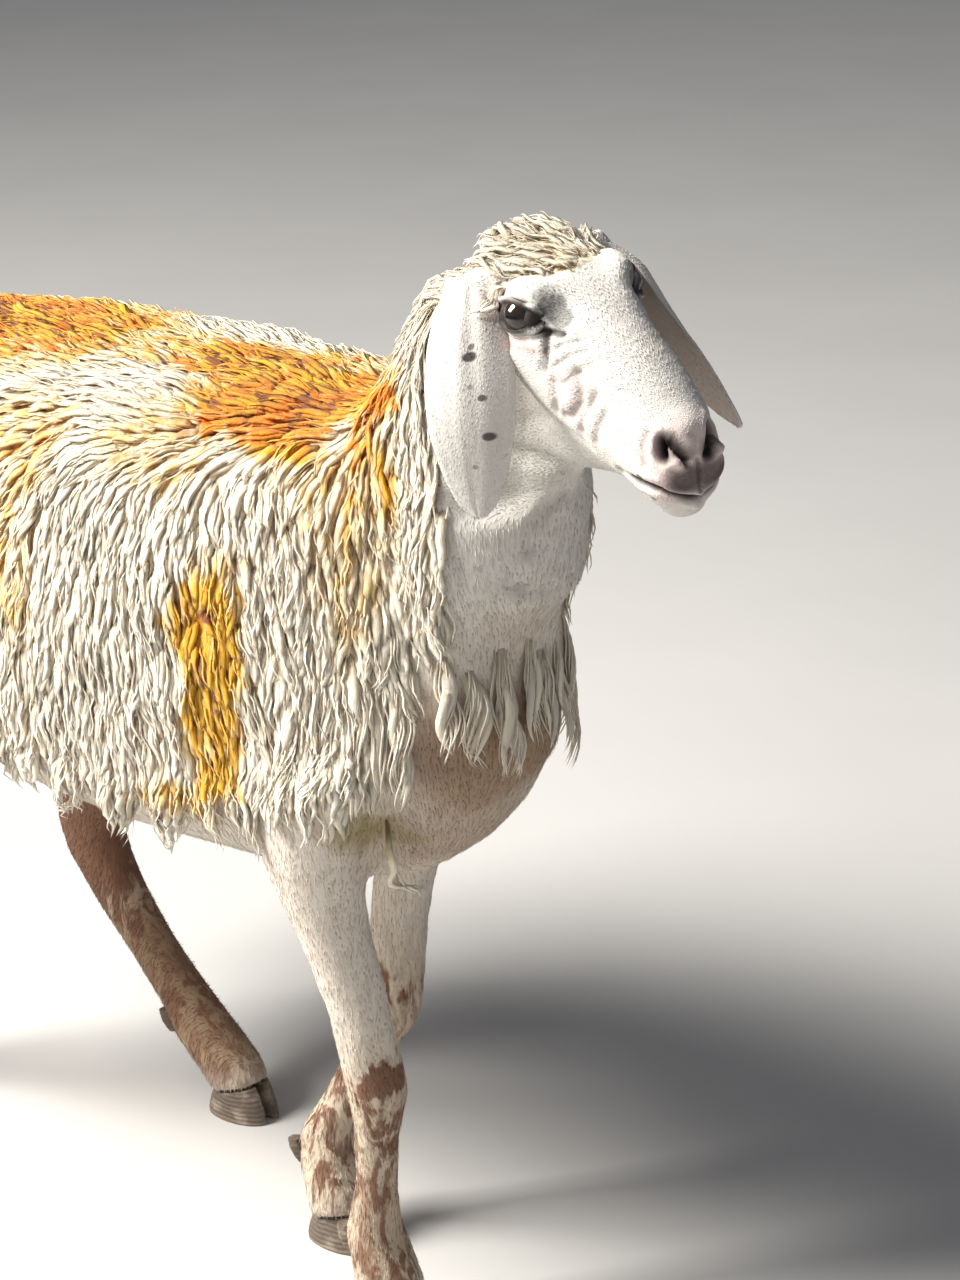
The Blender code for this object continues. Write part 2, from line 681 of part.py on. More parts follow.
def make_dewclaw(name, leg, side, grow=0.0):
    """A blunt little horn behind the fetlock, pointing down and back."""
    x, y, z, ahead, behind, half = LEGS[leg][DEWCLAW_ROW]
    rings = []
    for share, width in ((0.0, 0.8), (0.5, 1.0), (1.0, 0.45)):
        along = DEWCLAW_LENGTH * (share - 0.45) * (1 + grow * 60)
        back = -behind + DEWCLAW_SET_IN + DEWCLAW_SLOPE * along
        centre = Vector((back, side * DEWCLAW_SPREAD, z - 0.004 - along))
        radius = DEWCLAW_RADIUS * width + grow
        rings.append(oval(centre, (0, 1, 0), (1, 0, 0), radius, radius, radius, 2.0, 6))
    horn = loft(name, rings)
    heading = Matrix.Rotation(math.radians(HEADINGS[leg]), 4, "Z")
    horn.data.transform(Matrix.Translation(Vector((x, y, 0.0))) @ heading)
    return horn


# ---- the cuts -----------------------------------------------------------------------------
HEAD_BOX = ((-0.020, 0.330), (-0.160, 0.160), (-0.160, 0.120))   # in the head's frame
NECK_POINT = (0.290, 0.0, 0.672)
NECK_NORMAL = (0.793, 0.0, 0.610)
TAIL_BOX = ((-0.600, -0.402), (-0.170, 0.170), (0.385, 0.740))
# legs: x span at the top and at the floor, height of the cut at the inner front corner,
# its rise towards the back and its rise outwards, per metre, and the inner edge at the floor
LEG_CUTS = {
    "front_right": (0.160, 0.340, 0.200, 0.400, 0.372, 0.0, 0.75, 0.010),
    "front_left": (0.110, 0.300, 0.030, 0.196, 0.372, 0.0, 0.75, -0.040),
    "hind_left": (-0.398, -0.125, -0.398, 0.010, 0.385, 0.50, 0.30, 0.010),
    "hind_right": (-0.398, -0.150, -0.600, -0.200, 0.385, 0.50, 0.30, 0.010),
}
INNER_EDGE = 0.010           # the leg cutters start this far from the middle, at the trunk
OUTER_EDGE = 0.300
FLOOR_MARGIN = -0.100
KNEE_ROW = {"front": 6, "hind": 5}
FETLOCK_ROW = {"front": 9, "hind": 8}


def span_box(spans, grow=0.0):
    """A cutter box from its spans along x, y and z."""
    (x0, x1), (y0, y1), (z0, z1) = spans
    flat = ((x0 - grow, y0 - grow), (x1 + grow, y0 - grow), (x1 + grow, y1 + grow),
            (x0 - grow, y1 + grow))
    return hexahedron([(x, y, z1 + grow) for x, y in flat], [(x, y, z0 - grow) for x, y in flat])


def head_cutter(grow=0.0):
    cutter = span_box(HEAD_BOX, grow)
    cutter.data.transform(head_matrix())
    return cutter


def leg_cutter(leg, grow=0.0):
    """The wedge of space that holds one leg, with a top that slants to the trunk."""
    back_top, front_top, back_low, front_low, height, rise, lift, low_inner = LEG_CUTS[leg]
    side = 1 if leg.endswith("left") else -1
    top = []
    low = []
    for forward, outward in ((0, 0), (1, 0), (1, 1), (0, 1)):
        x = front_top + grow if forward else back_top - grow
        y = OUTER_EDGE if outward else INNER_EDGE - grow
        z = height + rise * (front_top - x) + lift * (y - INNER_EDGE) + grow
        top.append((x, side * y, z))
        x = front_low + grow if forward else back_low - grow
        y = OUTER_EDGE if outward else low_inner - grow
        low.append((x, side * y, FLOOR_MARGIN))
    return hexahedron(top, low)


def joint_plane(leg, row):
    """A point in a leg's joint and the leg's direction there, from body to foot."""
    rows = LEGS[leg]
    ahead = Vector(rows[row + 1][:3]) - Vector(rows[row - 1][:3])
    return Vector(rows[row][:3]), ahead.normalized()


def coronet_plane(leg):
    """The slanting plane where hair ends and horn begins."""
    frame = foot_frame(leg)
    point = frame @ Vector((CLAW_FORWARD, 0, CORONET_HEIGHT))
    normal = frame.to_3x3() @ Vector((-CORONET_SLOPE, 0, 1))
    return point, normal.normalized()


def part_leg(skin, leg):
    """Upper leg, shank and pastern of one leg, and its horn."""
    kind = leg.split("_")[0]
    outer = 1 if leg.endswith("left") else -1
    sides = (("outer", outer), ("inner", -outer))
    whole = keep(copy_of(skin, leg), leg_cutter(leg))
    for place, side in sides:
        whole = carve(whole, make_dewclaw("socket", leg, side, GAP))
    knee, down = joint_plane(leg, KNEE_ROW[kind])
    fetlock, lower = joint_plane(leg, FETLOCK_ROW[kind])
    sole, upwards = coronet_plane(leg)
    step = GAP / 2
    upper = keep(copy_of(whole, "leg_" + leg + "_upper"), beyond(knee - down * step, -down))
    shank = keep(copy_of(whole, "leg_" + leg + "_shank"), beyond(knee + down * step, down))
    shank = carve(shank, beyond(fetlock - lower * step, lower))
    pastern = keep(whole, beyond(fetlock + lower * step, lower))
    pastern = keep(pastern, beyond(sole + upwards * GAP, upwards))
    pastern.name = "leg_" + leg + "_pastern"
    for place, side in sides:
        finish(make_dewclaw("dewclaw_" + leg + "_" + place, leg, side), "claw_horn")
        finish(make_claw("claw_" + leg + "_" + place, leg, side), "claw_horn")
    for piece in (upper, shank, pastern):
        finish(piece, "leg_hair")


# ear: side of the head, the way it hangs and the way its outer face looks, in the world, and how
# far its middle swings out from a straight line
EARS = {
    "right": (-1, (0.15, -0.15, -0.97), (0.60, -0.80, 0.0), 0.016),
    "left": (1, (0.55, 0.27, -0.85), (0.12, 0.90, 0.42), -0.004),
}


def part_head(skin, neck):
    """Head with open eye sockets, the eyes, and the ears let into its sides."""
    head = keep(skin, head_cutter())
    head.name = "head"
    for side, name in ((1, "left"), (-1, "right")):
        centre = head_point(EYE_PLACE, side)
        radii = (EYE_RADIUS + GAP,) * 3
        head = carve(head, ball("socket", centre, radii, segments=12, rings=8))
        eye = ball("eye_" + name, centre, (EYE_RADIUS,) * 3, segments=12, rings=8)
        finish(eye, "eye")
    for name, (side, lean, facing, swing) in EARS.items():
        ear = make_ear(head_point(EAR_ROOT, side), lean, facing, swing)
        ear.name = "ear_" + name
        for host in (head, neck):
            swollen = copy_of(host, "swollen")
            swell = swollen.modifiers.new("Swell", "DISPLACE")
            swell.strength = GAP
            swell.mid_level = 0.0
            ear = carve(ear, settle(swollen, "swollen"))
        finish(ear, "face_hair")
    finish(head, "face_hair")


def main():
    clear_scene()
    front = fuse(head_forms() + neck_forms(), "front", HEAD_VOXEL, 4)
    face_skin = thinned(front, "face_skin", HEAD_TRIANGLES)
    remove(front)
    forms = trunk_forms() + fleece_locks() + neck_forms() + head_forms()
    body = fuse(forms + leg_forms() + tail_forms(), "body", BODY_VOXEL, 5)
    body_skin = thinned(body, "body_skin", BODY_TRIANGLES)
    leg_skin = thinned(body, "leg_skin", LEG_TRIANGLES)
    remove(body)

    half = Vector(NECK_NORMAL).normalized() * GAP / 2
    neck_point = Vector(NECK_POINT)
    neck = carve(copy_of(body_skin, "neck"), head_cutter(GAP))
    neck = keep(neck, beyond(neck_point + half, half))
    trunk = carve(copy_of(body_skin, "trunk"), beyond(neck_point - half, half))
    trunk = carve(trunk, span_box(TAIL_BOX, GAP))
    for leg in LEGS:
        trunk = carve(trunk, leg_cutter(leg, GAP))
    tail = keep(body_skin, span_box(TAIL_BOX))
    tail.name = "tail"
    leg_skin = carve(leg_skin, span_box(TAIL_BOX, GAP))
    for leg in LEGS:
        part_leg(leg_skin, leg)
    remove(leg_skin)
    part_head(face_skin, neck)
    for piece in (neck, trunk, tail):
        finish(piece, "fleece")
    centre_over_origin()


if __name__ == "__main__":
    main()
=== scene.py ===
"""Looks of a fat-tailed, lop-eared ewe in patchy short fleece, life size.

Metres, +Z up; she faces +X and her left side is at +Y. One skin takes the place of all the flesh.
Over it lie wavy locks of wool, and on the face, ears, belly and legs short flat hair. Eyes and
hooves are pieces of their own. Every piece sits at the origin with its place in its mesh.
"""

import math

import bmesh
import bpy
import numpy as np
from bpy.props import FloatProperty, IntProperty, PointerProperty
from mathutils import Euler, Matrix, Vector, noise
from mathutils.bvhtree import BVHTree
from mathutils.kdtree import KDTree


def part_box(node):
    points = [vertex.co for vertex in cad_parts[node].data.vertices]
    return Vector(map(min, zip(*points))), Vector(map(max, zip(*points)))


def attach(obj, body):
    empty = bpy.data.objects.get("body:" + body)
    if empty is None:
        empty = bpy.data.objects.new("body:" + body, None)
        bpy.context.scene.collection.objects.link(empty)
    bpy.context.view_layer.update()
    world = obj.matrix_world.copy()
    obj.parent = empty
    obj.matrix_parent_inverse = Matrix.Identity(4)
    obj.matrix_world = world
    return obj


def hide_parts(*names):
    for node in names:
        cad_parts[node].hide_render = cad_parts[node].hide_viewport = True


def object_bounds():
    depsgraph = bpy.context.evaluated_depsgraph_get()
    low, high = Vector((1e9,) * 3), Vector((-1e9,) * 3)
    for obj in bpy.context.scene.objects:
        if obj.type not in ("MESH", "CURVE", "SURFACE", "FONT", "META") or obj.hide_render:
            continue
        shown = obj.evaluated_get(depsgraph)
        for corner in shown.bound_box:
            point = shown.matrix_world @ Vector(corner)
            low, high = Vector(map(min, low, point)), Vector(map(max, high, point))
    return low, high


bl_info = {
    "name": "Fat-tailed ewe",
    "version": (1, 0, 0),
    "blender": (4, 5, 0),
    "location": "3D View > Sidebar > Ewe",
    "description": "Dresses the ewe's solids with skin, fleece, short hair, eyes, horn and a stage",
    "category": "Object",
}

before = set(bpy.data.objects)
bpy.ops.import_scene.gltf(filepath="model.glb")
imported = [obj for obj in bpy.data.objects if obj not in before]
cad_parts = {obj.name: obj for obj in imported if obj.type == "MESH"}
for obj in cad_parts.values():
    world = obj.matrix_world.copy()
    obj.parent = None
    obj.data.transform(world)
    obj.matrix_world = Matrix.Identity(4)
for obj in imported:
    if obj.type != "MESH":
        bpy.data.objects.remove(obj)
CAD_BOX = [list(corner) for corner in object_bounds()]
BODY = "root"

# ---- what the flesh is made of -------------------------------------------------------------
HARD_PARTS = ("claw", "dewclaw", "eye")
FLESH = [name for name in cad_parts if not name.startswith(HARD_PARTS + ("ear",))]
EARS = [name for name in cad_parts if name.startswith("ear")]
CLAWS = [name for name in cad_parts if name.startswith(("claw", "dewclaw"))]

# ---- the head's own frame: x along the face from the poll, y left, z up ----------------------
HEAD_TURN = (7.0, 9.2, -15.0)          # roll, nose-down pitch and yaw, in degrees
HEAD_SCALE = 0.90
EYE_IN_HEAD = (0.063, 0.043, -0.012)
EAR_ROOT = (0.0195, 0.062, -0.004)
EAR_LENGTH = 0.150
EAR_HALF_WIDTH = 0.031
EAR_THICKNESS = 0.0062
# side of the head, the way the ear hangs, the way its outer face looks, in the world, and how
# far its middle swings out from a straight line
EAR_SET = {
    "ear_right": (-1, (0.15, -0.15, -0.97), (0.60, -0.80, 0.0), 0.016),
    "ear_left": (1, (0.55, 0.27, -0.85), (0.26, 0.86, 0.44), -0.004),
}

# the ragged lower edge of the fleece: (along, height)
HEM = ((-0.500, 0.470), (-0.455, 0.480), (-0.437, 0.520), (-0.419, 0.596), (-0.354, 0.552),
       (-0.269, 0.512), (-0.179, 0.478), (-0.084, 0.462), (0.011, 0.456), (0.101, 0.456),
       (0.176, 0.474), (0.238, 0.494), (0.290, 0.505), (0.326, 0.520), (0.344, 0.540))


# ---- small maths ---------------------------------------------------------------------------
def middle(node):
    low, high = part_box(node)
    return (low + high) / 2


def head_axes():
    roll, pitch, yaw = (math.radians(angle) for angle in HEAD_TURN)
    return Euler((roll, pitch, yaw), "XYZ").to_matrix()


HEAD_AXES = head_axes()
EYES_MIDDLE = (middle("eye_left") + middle("eye_right")) / 2
HEAD_ORIGIN = EYES_MIDDLE - HEAD_AXES @ Vector((EYE_IN_HEAD[0], 0, EYE_IN_HEAD[2])) * HEAD_SCALE
EYE_RADIUS = (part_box("eye_left")[1].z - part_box("eye_left")[0].z) / 2


def head_point(place):
    """A place in the head's frame, in world metres."""
    return HEAD_ORIGIN + HEAD_AXES @ Vector(place) * HEAD_SCALE


def head_places(points):
    """World points in the head's frame."""
    return (points - np.array(HEAD_ORIGIN)) @ np.array(HEAD_AXES) / HEAD_SCALE


def metres(millimetres):
    return np.array(millimetres) / 1000


def unit(vectors):
    return vectors / np.maximum(np.linalg.norm(vectors, axis=-1, keepdims=True), 1e-9)


def dot(a, b):
    return np.sum(a * b, axis=-1)


def ramp(values, low, high):
    """0 below low, 1 above high, with soft ends."""
    share = np.clip((values - low) / (high - low), 0, 1)
    return share * share * (3 - 2 * share)


def read_off(places, rows):
    """Values at places on a line through (place, value) rows."""
    return np.interp(places, *zip(*rows))


def hump(values, middle, width):
    """1 at the middle, fading to 0 on both sides."""
    return np.exp(-((values - middle) / width) ** 2)


def hem_height(x):
    return read_off(x, HEM)


def along_line(points, line):
    """The distance of each point to a line through given points."""
    line = np.array(line, float)
    best = np.full(len(points), 1e9)
    for a, b in zip(line, line[1:]):
        share = np.clip((points - a) @ (b - a) / max((b - a) @ (b - a), 1e-12), 0, 1)
        best = np.minimum(best, np.linalg.norm(points - a - share[:, None] * (b - a), axis=1))
    return best


def ripple(points, scale, seed=0.0):
    """Smooth noise about 0, from about -1 to 1."""
    shift = Vector((seed, -seed, 2 * seed))
    return np.array([noise.noise(Vector(p) * scale + shift) for p in points])


# ---- small mesh tools ----------------------------------------------------------------------
def add_object(name, data):
    made = bpy.data.objects.new(name, data)
    bpy.context.scene.collection.objects.link(made)
    return made


def mesh_of(shape, name):
    """The mesh of a bmesh, which ends here."""
    mesh = bpy.data.meshes.new(name)
    shape.to_mesh(mesh)
    shape.free()
    return mesh


def put_on(thing, material):
    """Make a material the only one of an object."""
    thing.data.materials.clear()
    thing.data.materials.append(material)


def triangle_object(name, points, triangles, places=None):
    """An object from arrays: points, corner numbers of triangles and a UV place per corner."""
    mesh = bpy.data.meshes.new(name)
    mesh.vertices.add(len(points))
    mesh.vertices.foreach_set("co", np.asarray(points, np.float32).ravel())
    mesh.loops.add(3 * len(triangles))
    mesh.loops.foreach_set("vertex_index", np.asarray(triangles, np.int32).ravel())
    mesh.polygons.add(len(triangles))
    mesh.polygons.foreach_set("loop_start", np.arange(0, 3 * len(triangles), 3, dtype=np.int32))
    mesh.update(calc_edges=True)
    mesh.shade_smooth()
    if places is not None:
        layer = mesh.uv_layers.new(name="OFBake")
        layer.uv.foreach_set("vector", np.asarray(places, np.float32).ravel())
    return add_object(name, mesh)


def settle(thing):
    """Apply the modifiers of an object."""
    bpy.context.view_layer.update()
    graph = bpy.context.evaluated_depsgraph_get()
    mesh = bpy.data.meshes.new_from_object(thing.evaluated_get(graph))
    old = thing.data
    thing.modifiers.clear()
    thing.data = mesh
    bpy.data.meshes.remove(old)
    return thing


def read_vectors(rows, key):
    """One vector of each row of mesh data."""
    values = np.empty(len(rows) * 3, np.float32)
    rows.foreach_get(key, values)
    return values.reshape(-1, 3).astype(float)


def read_points(mesh):
    return read_vectors(mesh.vertices, "co")


def write_points(mesh, points):
    mesh.vertices.foreach_set("co", points.astype(np.float32).ravel())
    mesh.update()


def read_normals(mesh):
    return read_vectors(mesh.vertex_normals, "vector")


def read_attribute(mesh, name):
    values = np.empty(len(mesh.vertices), np.float32)
    mesh.attributes[name].data.foreach_get("value", values)
    return values


def set_attribute(mesh, name, values, kind="FLOAT"):
    """A value, or a vector, for each point of a mesh."""
    found = mesh.attributes.get(name) or mesh.attributes.new(name, kind, "POINT")
    field = "value" if kind == "FLOAT" else "vector"
    found.data.foreach_set(field, np.asarray(values, np.float32).ravel())


def relax(thing, weights, factor, repeats):
    """Smooth a mesh where the weights are above 0."""
    group = thing.vertex_groups.new(name="relax")
    for level in range(1, 11):
        near = np.nonzero(np.round(weights * 10) == level)[0]
        group.add(near.tolist(), level / 10, "REPLACE")
    smooth = thing.modifiers.new("Relax", "SMOOTH")
    smooth.factor = factor
    smooth.iterations = repeats
    smooth.vertex_group = group.name
    settle(thing)
    thing.vertex_groups.clear()


def refine(thing, chosen):
    """Divide the faces whose points are all chosen."""
    shape = bmesh.new()
    shape.from_mesh(thing.data)
    shape.verts.ensure_lookup_table()
    inside = set(np.nonzero(chosen)[0].tolist())
    edges = [e for e in shape.edges if e.verts[0].index in inside and e.verts[1].index in inside]
    bmesh.ops.subdivide_edges(shape, edges=edges, cuts=1, use_grid_fill=True)
    shape.to_mesh(thing.data)
    shape.free()


# ---- the skin ------------------------------------------------------------------------------
BRIDGE = 0.0008            # the flesh solids swell by this to close the cuts between them
SKIN_VOXEL = 0.0066
WOOL_DEPTH = 0.016         # how far the skin lies under the tips of the fleece
POLL_DEPTH = 0.008
BIB_DEPTH = 0.009
HAIR_DEPTH = 0.0022
FACE_DEPTH = 0.0010
BREAST_FRONT = (0.995, -0.09, 0.0)     # the way the throat and the breast face
BREAST_MIDDLE = 0.003
# half the width of the woolless front at each height
BARE_WIDTH = ((0.470, 0.108), (0.560, 0.096), (0.582, 0.076), (0.640, 0.080), (0.710, 0.088),
              (0.760, 0.094))
FOREHEAD_WOOL = 0.092      # how far the wool of the poll comes down the face, in the head's frame
FOREHEAD_CURVE = 0.044     # how far back its edge draws at the brows
BROW_SPAN = 0.042


def poll_mask(head):
    """1 on the woolly top of the head, its edge a bow from brow to brow."""
    x, y, z = head.T
    edge = FOREHEAD_WOOL - FOREHEAD_CURVE * (y / BROW_SPAN) ** 2
    return ramp(edge - x, 0.0, 0.026) * ramp(z, -0.035, -0.012)


def face_mask(points):
    """1 on the short-haired head, 0 on the wool of neck and poll."""
    head = head_places(points)
    ahead = ramp(head[:, 0], -0.030, -0.006)
    above_jaw = ramp(head[:, 2], -0.190, -0.164)
    near = 1 - ramp(np.abs(head[:, 1]), 0.085, 0.11)
    return ahead * above_jaw * near * (1 - poll_mask(head))


def bare_front(points, normals):
    """1 on the throat and the front of the breast, which have no wool of their own."""
    half = read_off(points[:, 2], BARE_WIDTH)
    off_middle = np.abs(points[:, 1] - BREAST_MIDDLE)
    facing = ramp(normals @ unit(np.array(BREAST_FRONT)), 0.28, 0.46)
    beside = ramp(off_middle, half - 0.005, half + 0.005)
    return (1 - beside) * facing * ramp(points[:, 0], 0.20, 0.24)


def wool_mask(points, normals):
    """1 where wool grows, 0 on short hair."""
    hem = hem_height(points[:, 0])
    above = ramp(points[:, 2], hem - 0.012, hem + 0.018)
    return above * (1 - face_mask(points)) * (1 - bare_front(points, normals))


def bib_mask(points):
    """1 on the breast, over which the long locks of the bib hang."""
    x, y, z = points.T
    front = ramp(x, 0.190, 0.245) * (1 - ramp(np.abs(y + 0.01), 0.100, 0.125))
    return front * ramp(z, 0.470, 0.510) * (1 - ramp(z, 0.600, 0.640))


def fused_flesh():
    """The flesh solids swollen a little, merged and closed into one skin."""
    shape = bmesh.new()
    for name in FLESH:
        piece = bmesh.new()
        piece.from_mesh(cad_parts[name].data)
        bmesh.ops.remove_doubles(piece, verts=piece.verts[:], dist=1e-5)
        piece.normal_update()
        for vert in piece.verts:
            vert.co += vert.normal * BRIDGE
        made = mesh_of(piece, "piece")
        shape.from_mesh(made)
        bpy.data.meshes.remove(made)
    for side in ("left", "right"):
        place = Matrix.Translation(middle("eye_" + side))
        bmesh.ops.create_uvsphere(shape, u_segments=24, v_segments=16,
                                  radius=EYE_RADIUS + BRIDGE, matrix=place)
    skin = add_object("skin", mesh_of(shape, "skin"))
    remesh = skin.modifiers.new("Fuse", "REMESH")
    remesh.mode = "VOXEL"
    remesh.voxel_size = SKIN_VOXEL
    settle(skin)
    relax(skin, np.ones(len(skin.data.vertices)), 0.5, 3)
    return skin


def sink_under_coat(skin):
    """Lower the skin by the coat's depth and smooth away the locks that the solids show."""
    points = read_points(skin.data)
    normals = read_normals(skin.data)
    wool = wool_mask(points, normals)
    bib = bib_mask(points)
    face = face_mask(points)
    poll = poll_mask(head_places(points)) * ramp(head_places(points)[:, 0], -0.04, -0.01)
    bare = FACE_DEPTH * face + HAIR_DEPTH * (1 - face)
    under_wool = WOOL_DEPTH + (POLL_DEPTH - WOOL_DEPTH) * poll
    depth = bare + (under_wool - bare) * wool
    depth = np.maximum(depth, BIB_DEPTH * bib)
    write_points(skin.data, points - normals * depth[:, None])
    relax(skin, np.maximum(wool * (1 - 0.7 * poll), bib), 0.5, 22)


# the eye's opening, in metres from the eye's middle
SLIT_AXIS = (0.993, 0.118)     # in the head's frame: along x and z
EYE_LOOK = (0.25, 0.95, 0.14)  # the way the left eye looks, in the head's frame
SLIT_HALF = 0.0200
SLIT_RISE = 0.0084
SLIT_DROP = 0.0060
LID_THICK = 0.0013
LID_REACH = 0.0052             # how much further the lids reach along the slit than the eyeball
LID_FADE = 0.009               # the lids' shape fades out at this distance from the eyeball
LID_EDGE = 0.0005              # height of the lids' thick edges
LID_FOLD = 0.0019              # depth of the folds above and below the eye
LID_SWELL = 0.0010             # height of the skin beyond the folds
UPPER_FOLD = 0.0052            # how far the folds lie from the opening
LOWER_FOLD = 0.0046
POCKET = 0.0030                # how deep the skin draws back behind the lids
UPPER_RIM = 0.0038             # width of the dark bare rims of the lids
LOWER_RIM = 0.0034


def eye_frame(side):
    """The eye's middle, the way it looks, along its slit (forwards) and up, in the world."""
    look = HEAD_AXES @ Vector((EYE_LOOK[0], EYE_LOOK[1] * side, EYE_LOOK[2])).normalized()
    slit = HEAD_AXES @ Vector((SLIT_AXIS[0], 0, SLIT_AXIS[1]))
    slit = (slit - look * slit.dot(look)).normalized()
    up = look.cross(slit) * -side
    centre = middle("eye_left" if side > 0 else "eye_right")
    return centre, look, slit, up.normalized()


def slit_depth(along, high):
    """How far a place lies inside the almond opening of the lids; below 0 outside it."""
    bow = np.clip(1 - (along / SLIT_HALF) ** 2, 0, 1) ** 0.9
    past = np.maximum(np.abs(along) - SLIT_HALF, 0)
    return np.where(high > 0, SLIT_RISE * bow - high, SLIT_DROP * bow + high) - past


def eye_places(points, side):
    """Along the slit, across it, out of the eye, and the distance from the eye's middle."""
    centre, look, slit, up = (np.array(v) for v in eye_frame(side))
    away = points - centre
    return away @ slit, away @ up, away @ look, np.linalg.norm(away, axis=1)


def shape_lids(points):
    """Wrap the lids round the eyeballs, round an almond opening with a fold above and below."""
    for side in (1, -1):
        centre = np.array(eye_frame(side)[0])
        along, high, front, reach = eye_places(points, side)
        away = points - centre
        inside = slit_depth(along, high)
        near = 1 - ramp(reach, EYE_RADIUS + LID_FADE, EYE_RADIUS + 2 * LID_FADE)
        near *= ramp(front, -0.004, 0.003)
        near *= 1 - ramp(-inside, 0.006, 0.014)
        lean = np.abs(along) / np.maximum(reach, 1e-6)
        stretch = 1 + LID_REACH / EYE_RADIUS * ramp(lean, 0.45, 1.0)
        lid = (EYE_RADIUS + LID_THICK) * stretch
        lid = lid + LID_EDGE * hump(inside, -0.0016, 0.0012)
        fold = np.where(high > 0, UPPER_FOLD, LOWER_FOLD)
        lid = lid - LID_FOLD * hump(inside, -fold, 0.0011)
        lid = lid + LID_SWELL * hump(inside + fold, -0.003, 0.0018)
        hollow = ramp(inside, -0.0005, 0.0006)
        goal = lid * (1 - hollow) + (EYE_RADIUS * stretch - POCKET) * hollow
        scale = 1 + near * (goal / np.maximum(reach, 1e-6) - 1)
        points = np.where((near > 0)[:, None], centre + away * scale[:, None], points)
    return points


# Lines on both sides of the face, in millimetres: the points of each in the head's frame, its
# width and its depth. The last number is how dark it is painted: painted shade down in the line.
NOSTRIL = ((224, 9, -76), (220.5, 12.5, -68), (215, 16.8, -60.5), (211, 22.5, -62),
           (214, 26.5, -69))
MOUTH = ((170, 33.5, -98.5), (190, 33, -97.5), (204, 30.5, -97), (214, 26.5, -98),
         (222, 18, -102.5), (226.5, 9, -107.5), (228, 0, -110.5))
FACE_LINES = {
    "nostril": (NOSTRIL, 3.4, 9, 1),
    "nostril end": (((211, 21.5, -60), (213, 24, -66.5), (216, 25.5, -72)), 4.2, 5, 1),
    "alar fold": (((203, 30, -56), (200, 33, -68), (203, 33, -80)), 3.4, 1.4, 0),
    "mouth": (MOUTH, 2.1, 4.4, 1),
    "mouth corner": (((176, 34, -99), (166, 33.5, -104)), 3, 1.8, 0.15),
    "inner corner": (((82, 43, -16), (90, 40, -15.5), (104, 35, -14)), 2.4, 2.4, 1),
    "tear groove": (((90, 41, -17), (94, 43, -26), (97, 47, -40)), 2.7, 3.6, 0.85),
    "outer corner": (((46, 48, -15), (50, 50, -24), (60, 53, -38)), 3.4, 3, 0.6),
    "under lid": (((58, 52, -34), (72, 51, -35), (88, 47, -33)), 3, 2, 0.1),
    "fan 1": (((101, 42, -27), (108, 38, -20), (120, 31, -15)), 2.8, 2.2, 0.15),
    "fan 2": (((107, 44, -36), (117, 38, -26), (130, 30, -19)), 2.6, 1.8, 0.08),
    "fan 3": (((116, 44, -48), (126, 39, -36), (138, 31, -26)), 3, 1.7, 0.04),
    "cheek fold": (((126, 37, -36), (132, 39, -46), (134, 40, -56), (128, 42, -67),
        (116, 45, -74)), 4, 3.6, 0.18),
    "cheek fold 2": (((148, 36, -46), (144, 38, -56), (138, 41, -66), (134, 41, -80)), 3.8, 2.6,
        0.12),
    "cheek fold 3": (((108, 46, -48), (112, 46, -60), (106, 47, -74)), 3.6, 2.2, 0.08),
    "cheek fold 4": (((160, 35, -56), (154, 37, -68), (152, 37, -80)), 3.4, 1.8, 0.04),
    "jaw crease": (((60, 50, -104), (95, 46, -100), (128, 40, -97)), 6, 1.6, 0),
    "philtrum": (((227, 0, -76), (229, 0, -88), (229, 0, -102)), 1.4, 1.2, 0.25),
    "upper lip rim": (((198, 32, -90.5), (214, 27.5, -89), (224, 15, -96), (229, 0, -105)), 2.6,
        -1.5, 0),
    "lower lip rim": (((190, 32, -102.5), (208, 26.5, -103.5), (220, 14, -110), (224, 0, -118)),
        2.8, -1.3, 0),
    "nostril wing": (((219, 24, -76), (224, 18, -74), (227, 11, -78)), 3.4, -2.2, 0),
    "nostril roof": (((207, 18, -53), (214, 10, -58), (221, 3, -66)), 3.4, -1.4, 0),
}
# soft swellings and hollows, in millimetres: (middle in the head's frame, radii, height)
FACE_FORMS = (
    ((94, 36, -5), (13, 16, 12), -5.4), ((62, 40, 8), (22, 14, 9), 3.4),
    ((94, 25, 11), (24, 10, 8), 3.4), ((70, 50, -34), (18, 16, 6), 2.2),
    ((76, 50, -40), (26, 18, 9), 1.2), ((118, 40, -58), (12, 14, 14), 1.1),
    ((142, 38, -70), (10, 14, 12), 0.9), ((214, 6, -56), (18, 14, 13), 4),
    ((203, 6, -126), (24, 20, 14), 2.6), ((150, 30, -35), (30, 12, 10), 1.2),
)
# the left brow stands out further than the right one
FAR_BROW = ((92, 30, 3), (30, 16, 15), 8)
# folds of the loose skin of the throat, in the world, in millimetres
THROAT_FOLDS = (
    ((352, -62, 742), (380, -36, 733), (395, -6, 730)),
    ((384, -6, 705), (378, -24, 690), (372, -30, 664)),
    ((386, 16, 700), (380, 10, 670), (370, 6, 640)),
    ((361, -36, 640), (368, 0, 628), (361, 30, 640)),
)
FOLD_DEPTH = 0.0040
FOLD_DROP = 0.012              # the swelling lies this far below its fold
FOLD_SWELL = 0.0026
CHEEK_RIDGE = 0.0016
JAW_DRAW = 0.42                # the share of its width that the jaw loses at its lower edge
# the lower edge of the cheek: (along, height) in the head's frame
CHEEK_EDGE = ((0.030, -0.022), (0.067, -0.043), (0.130, -0.072), (0.200, -0.100))


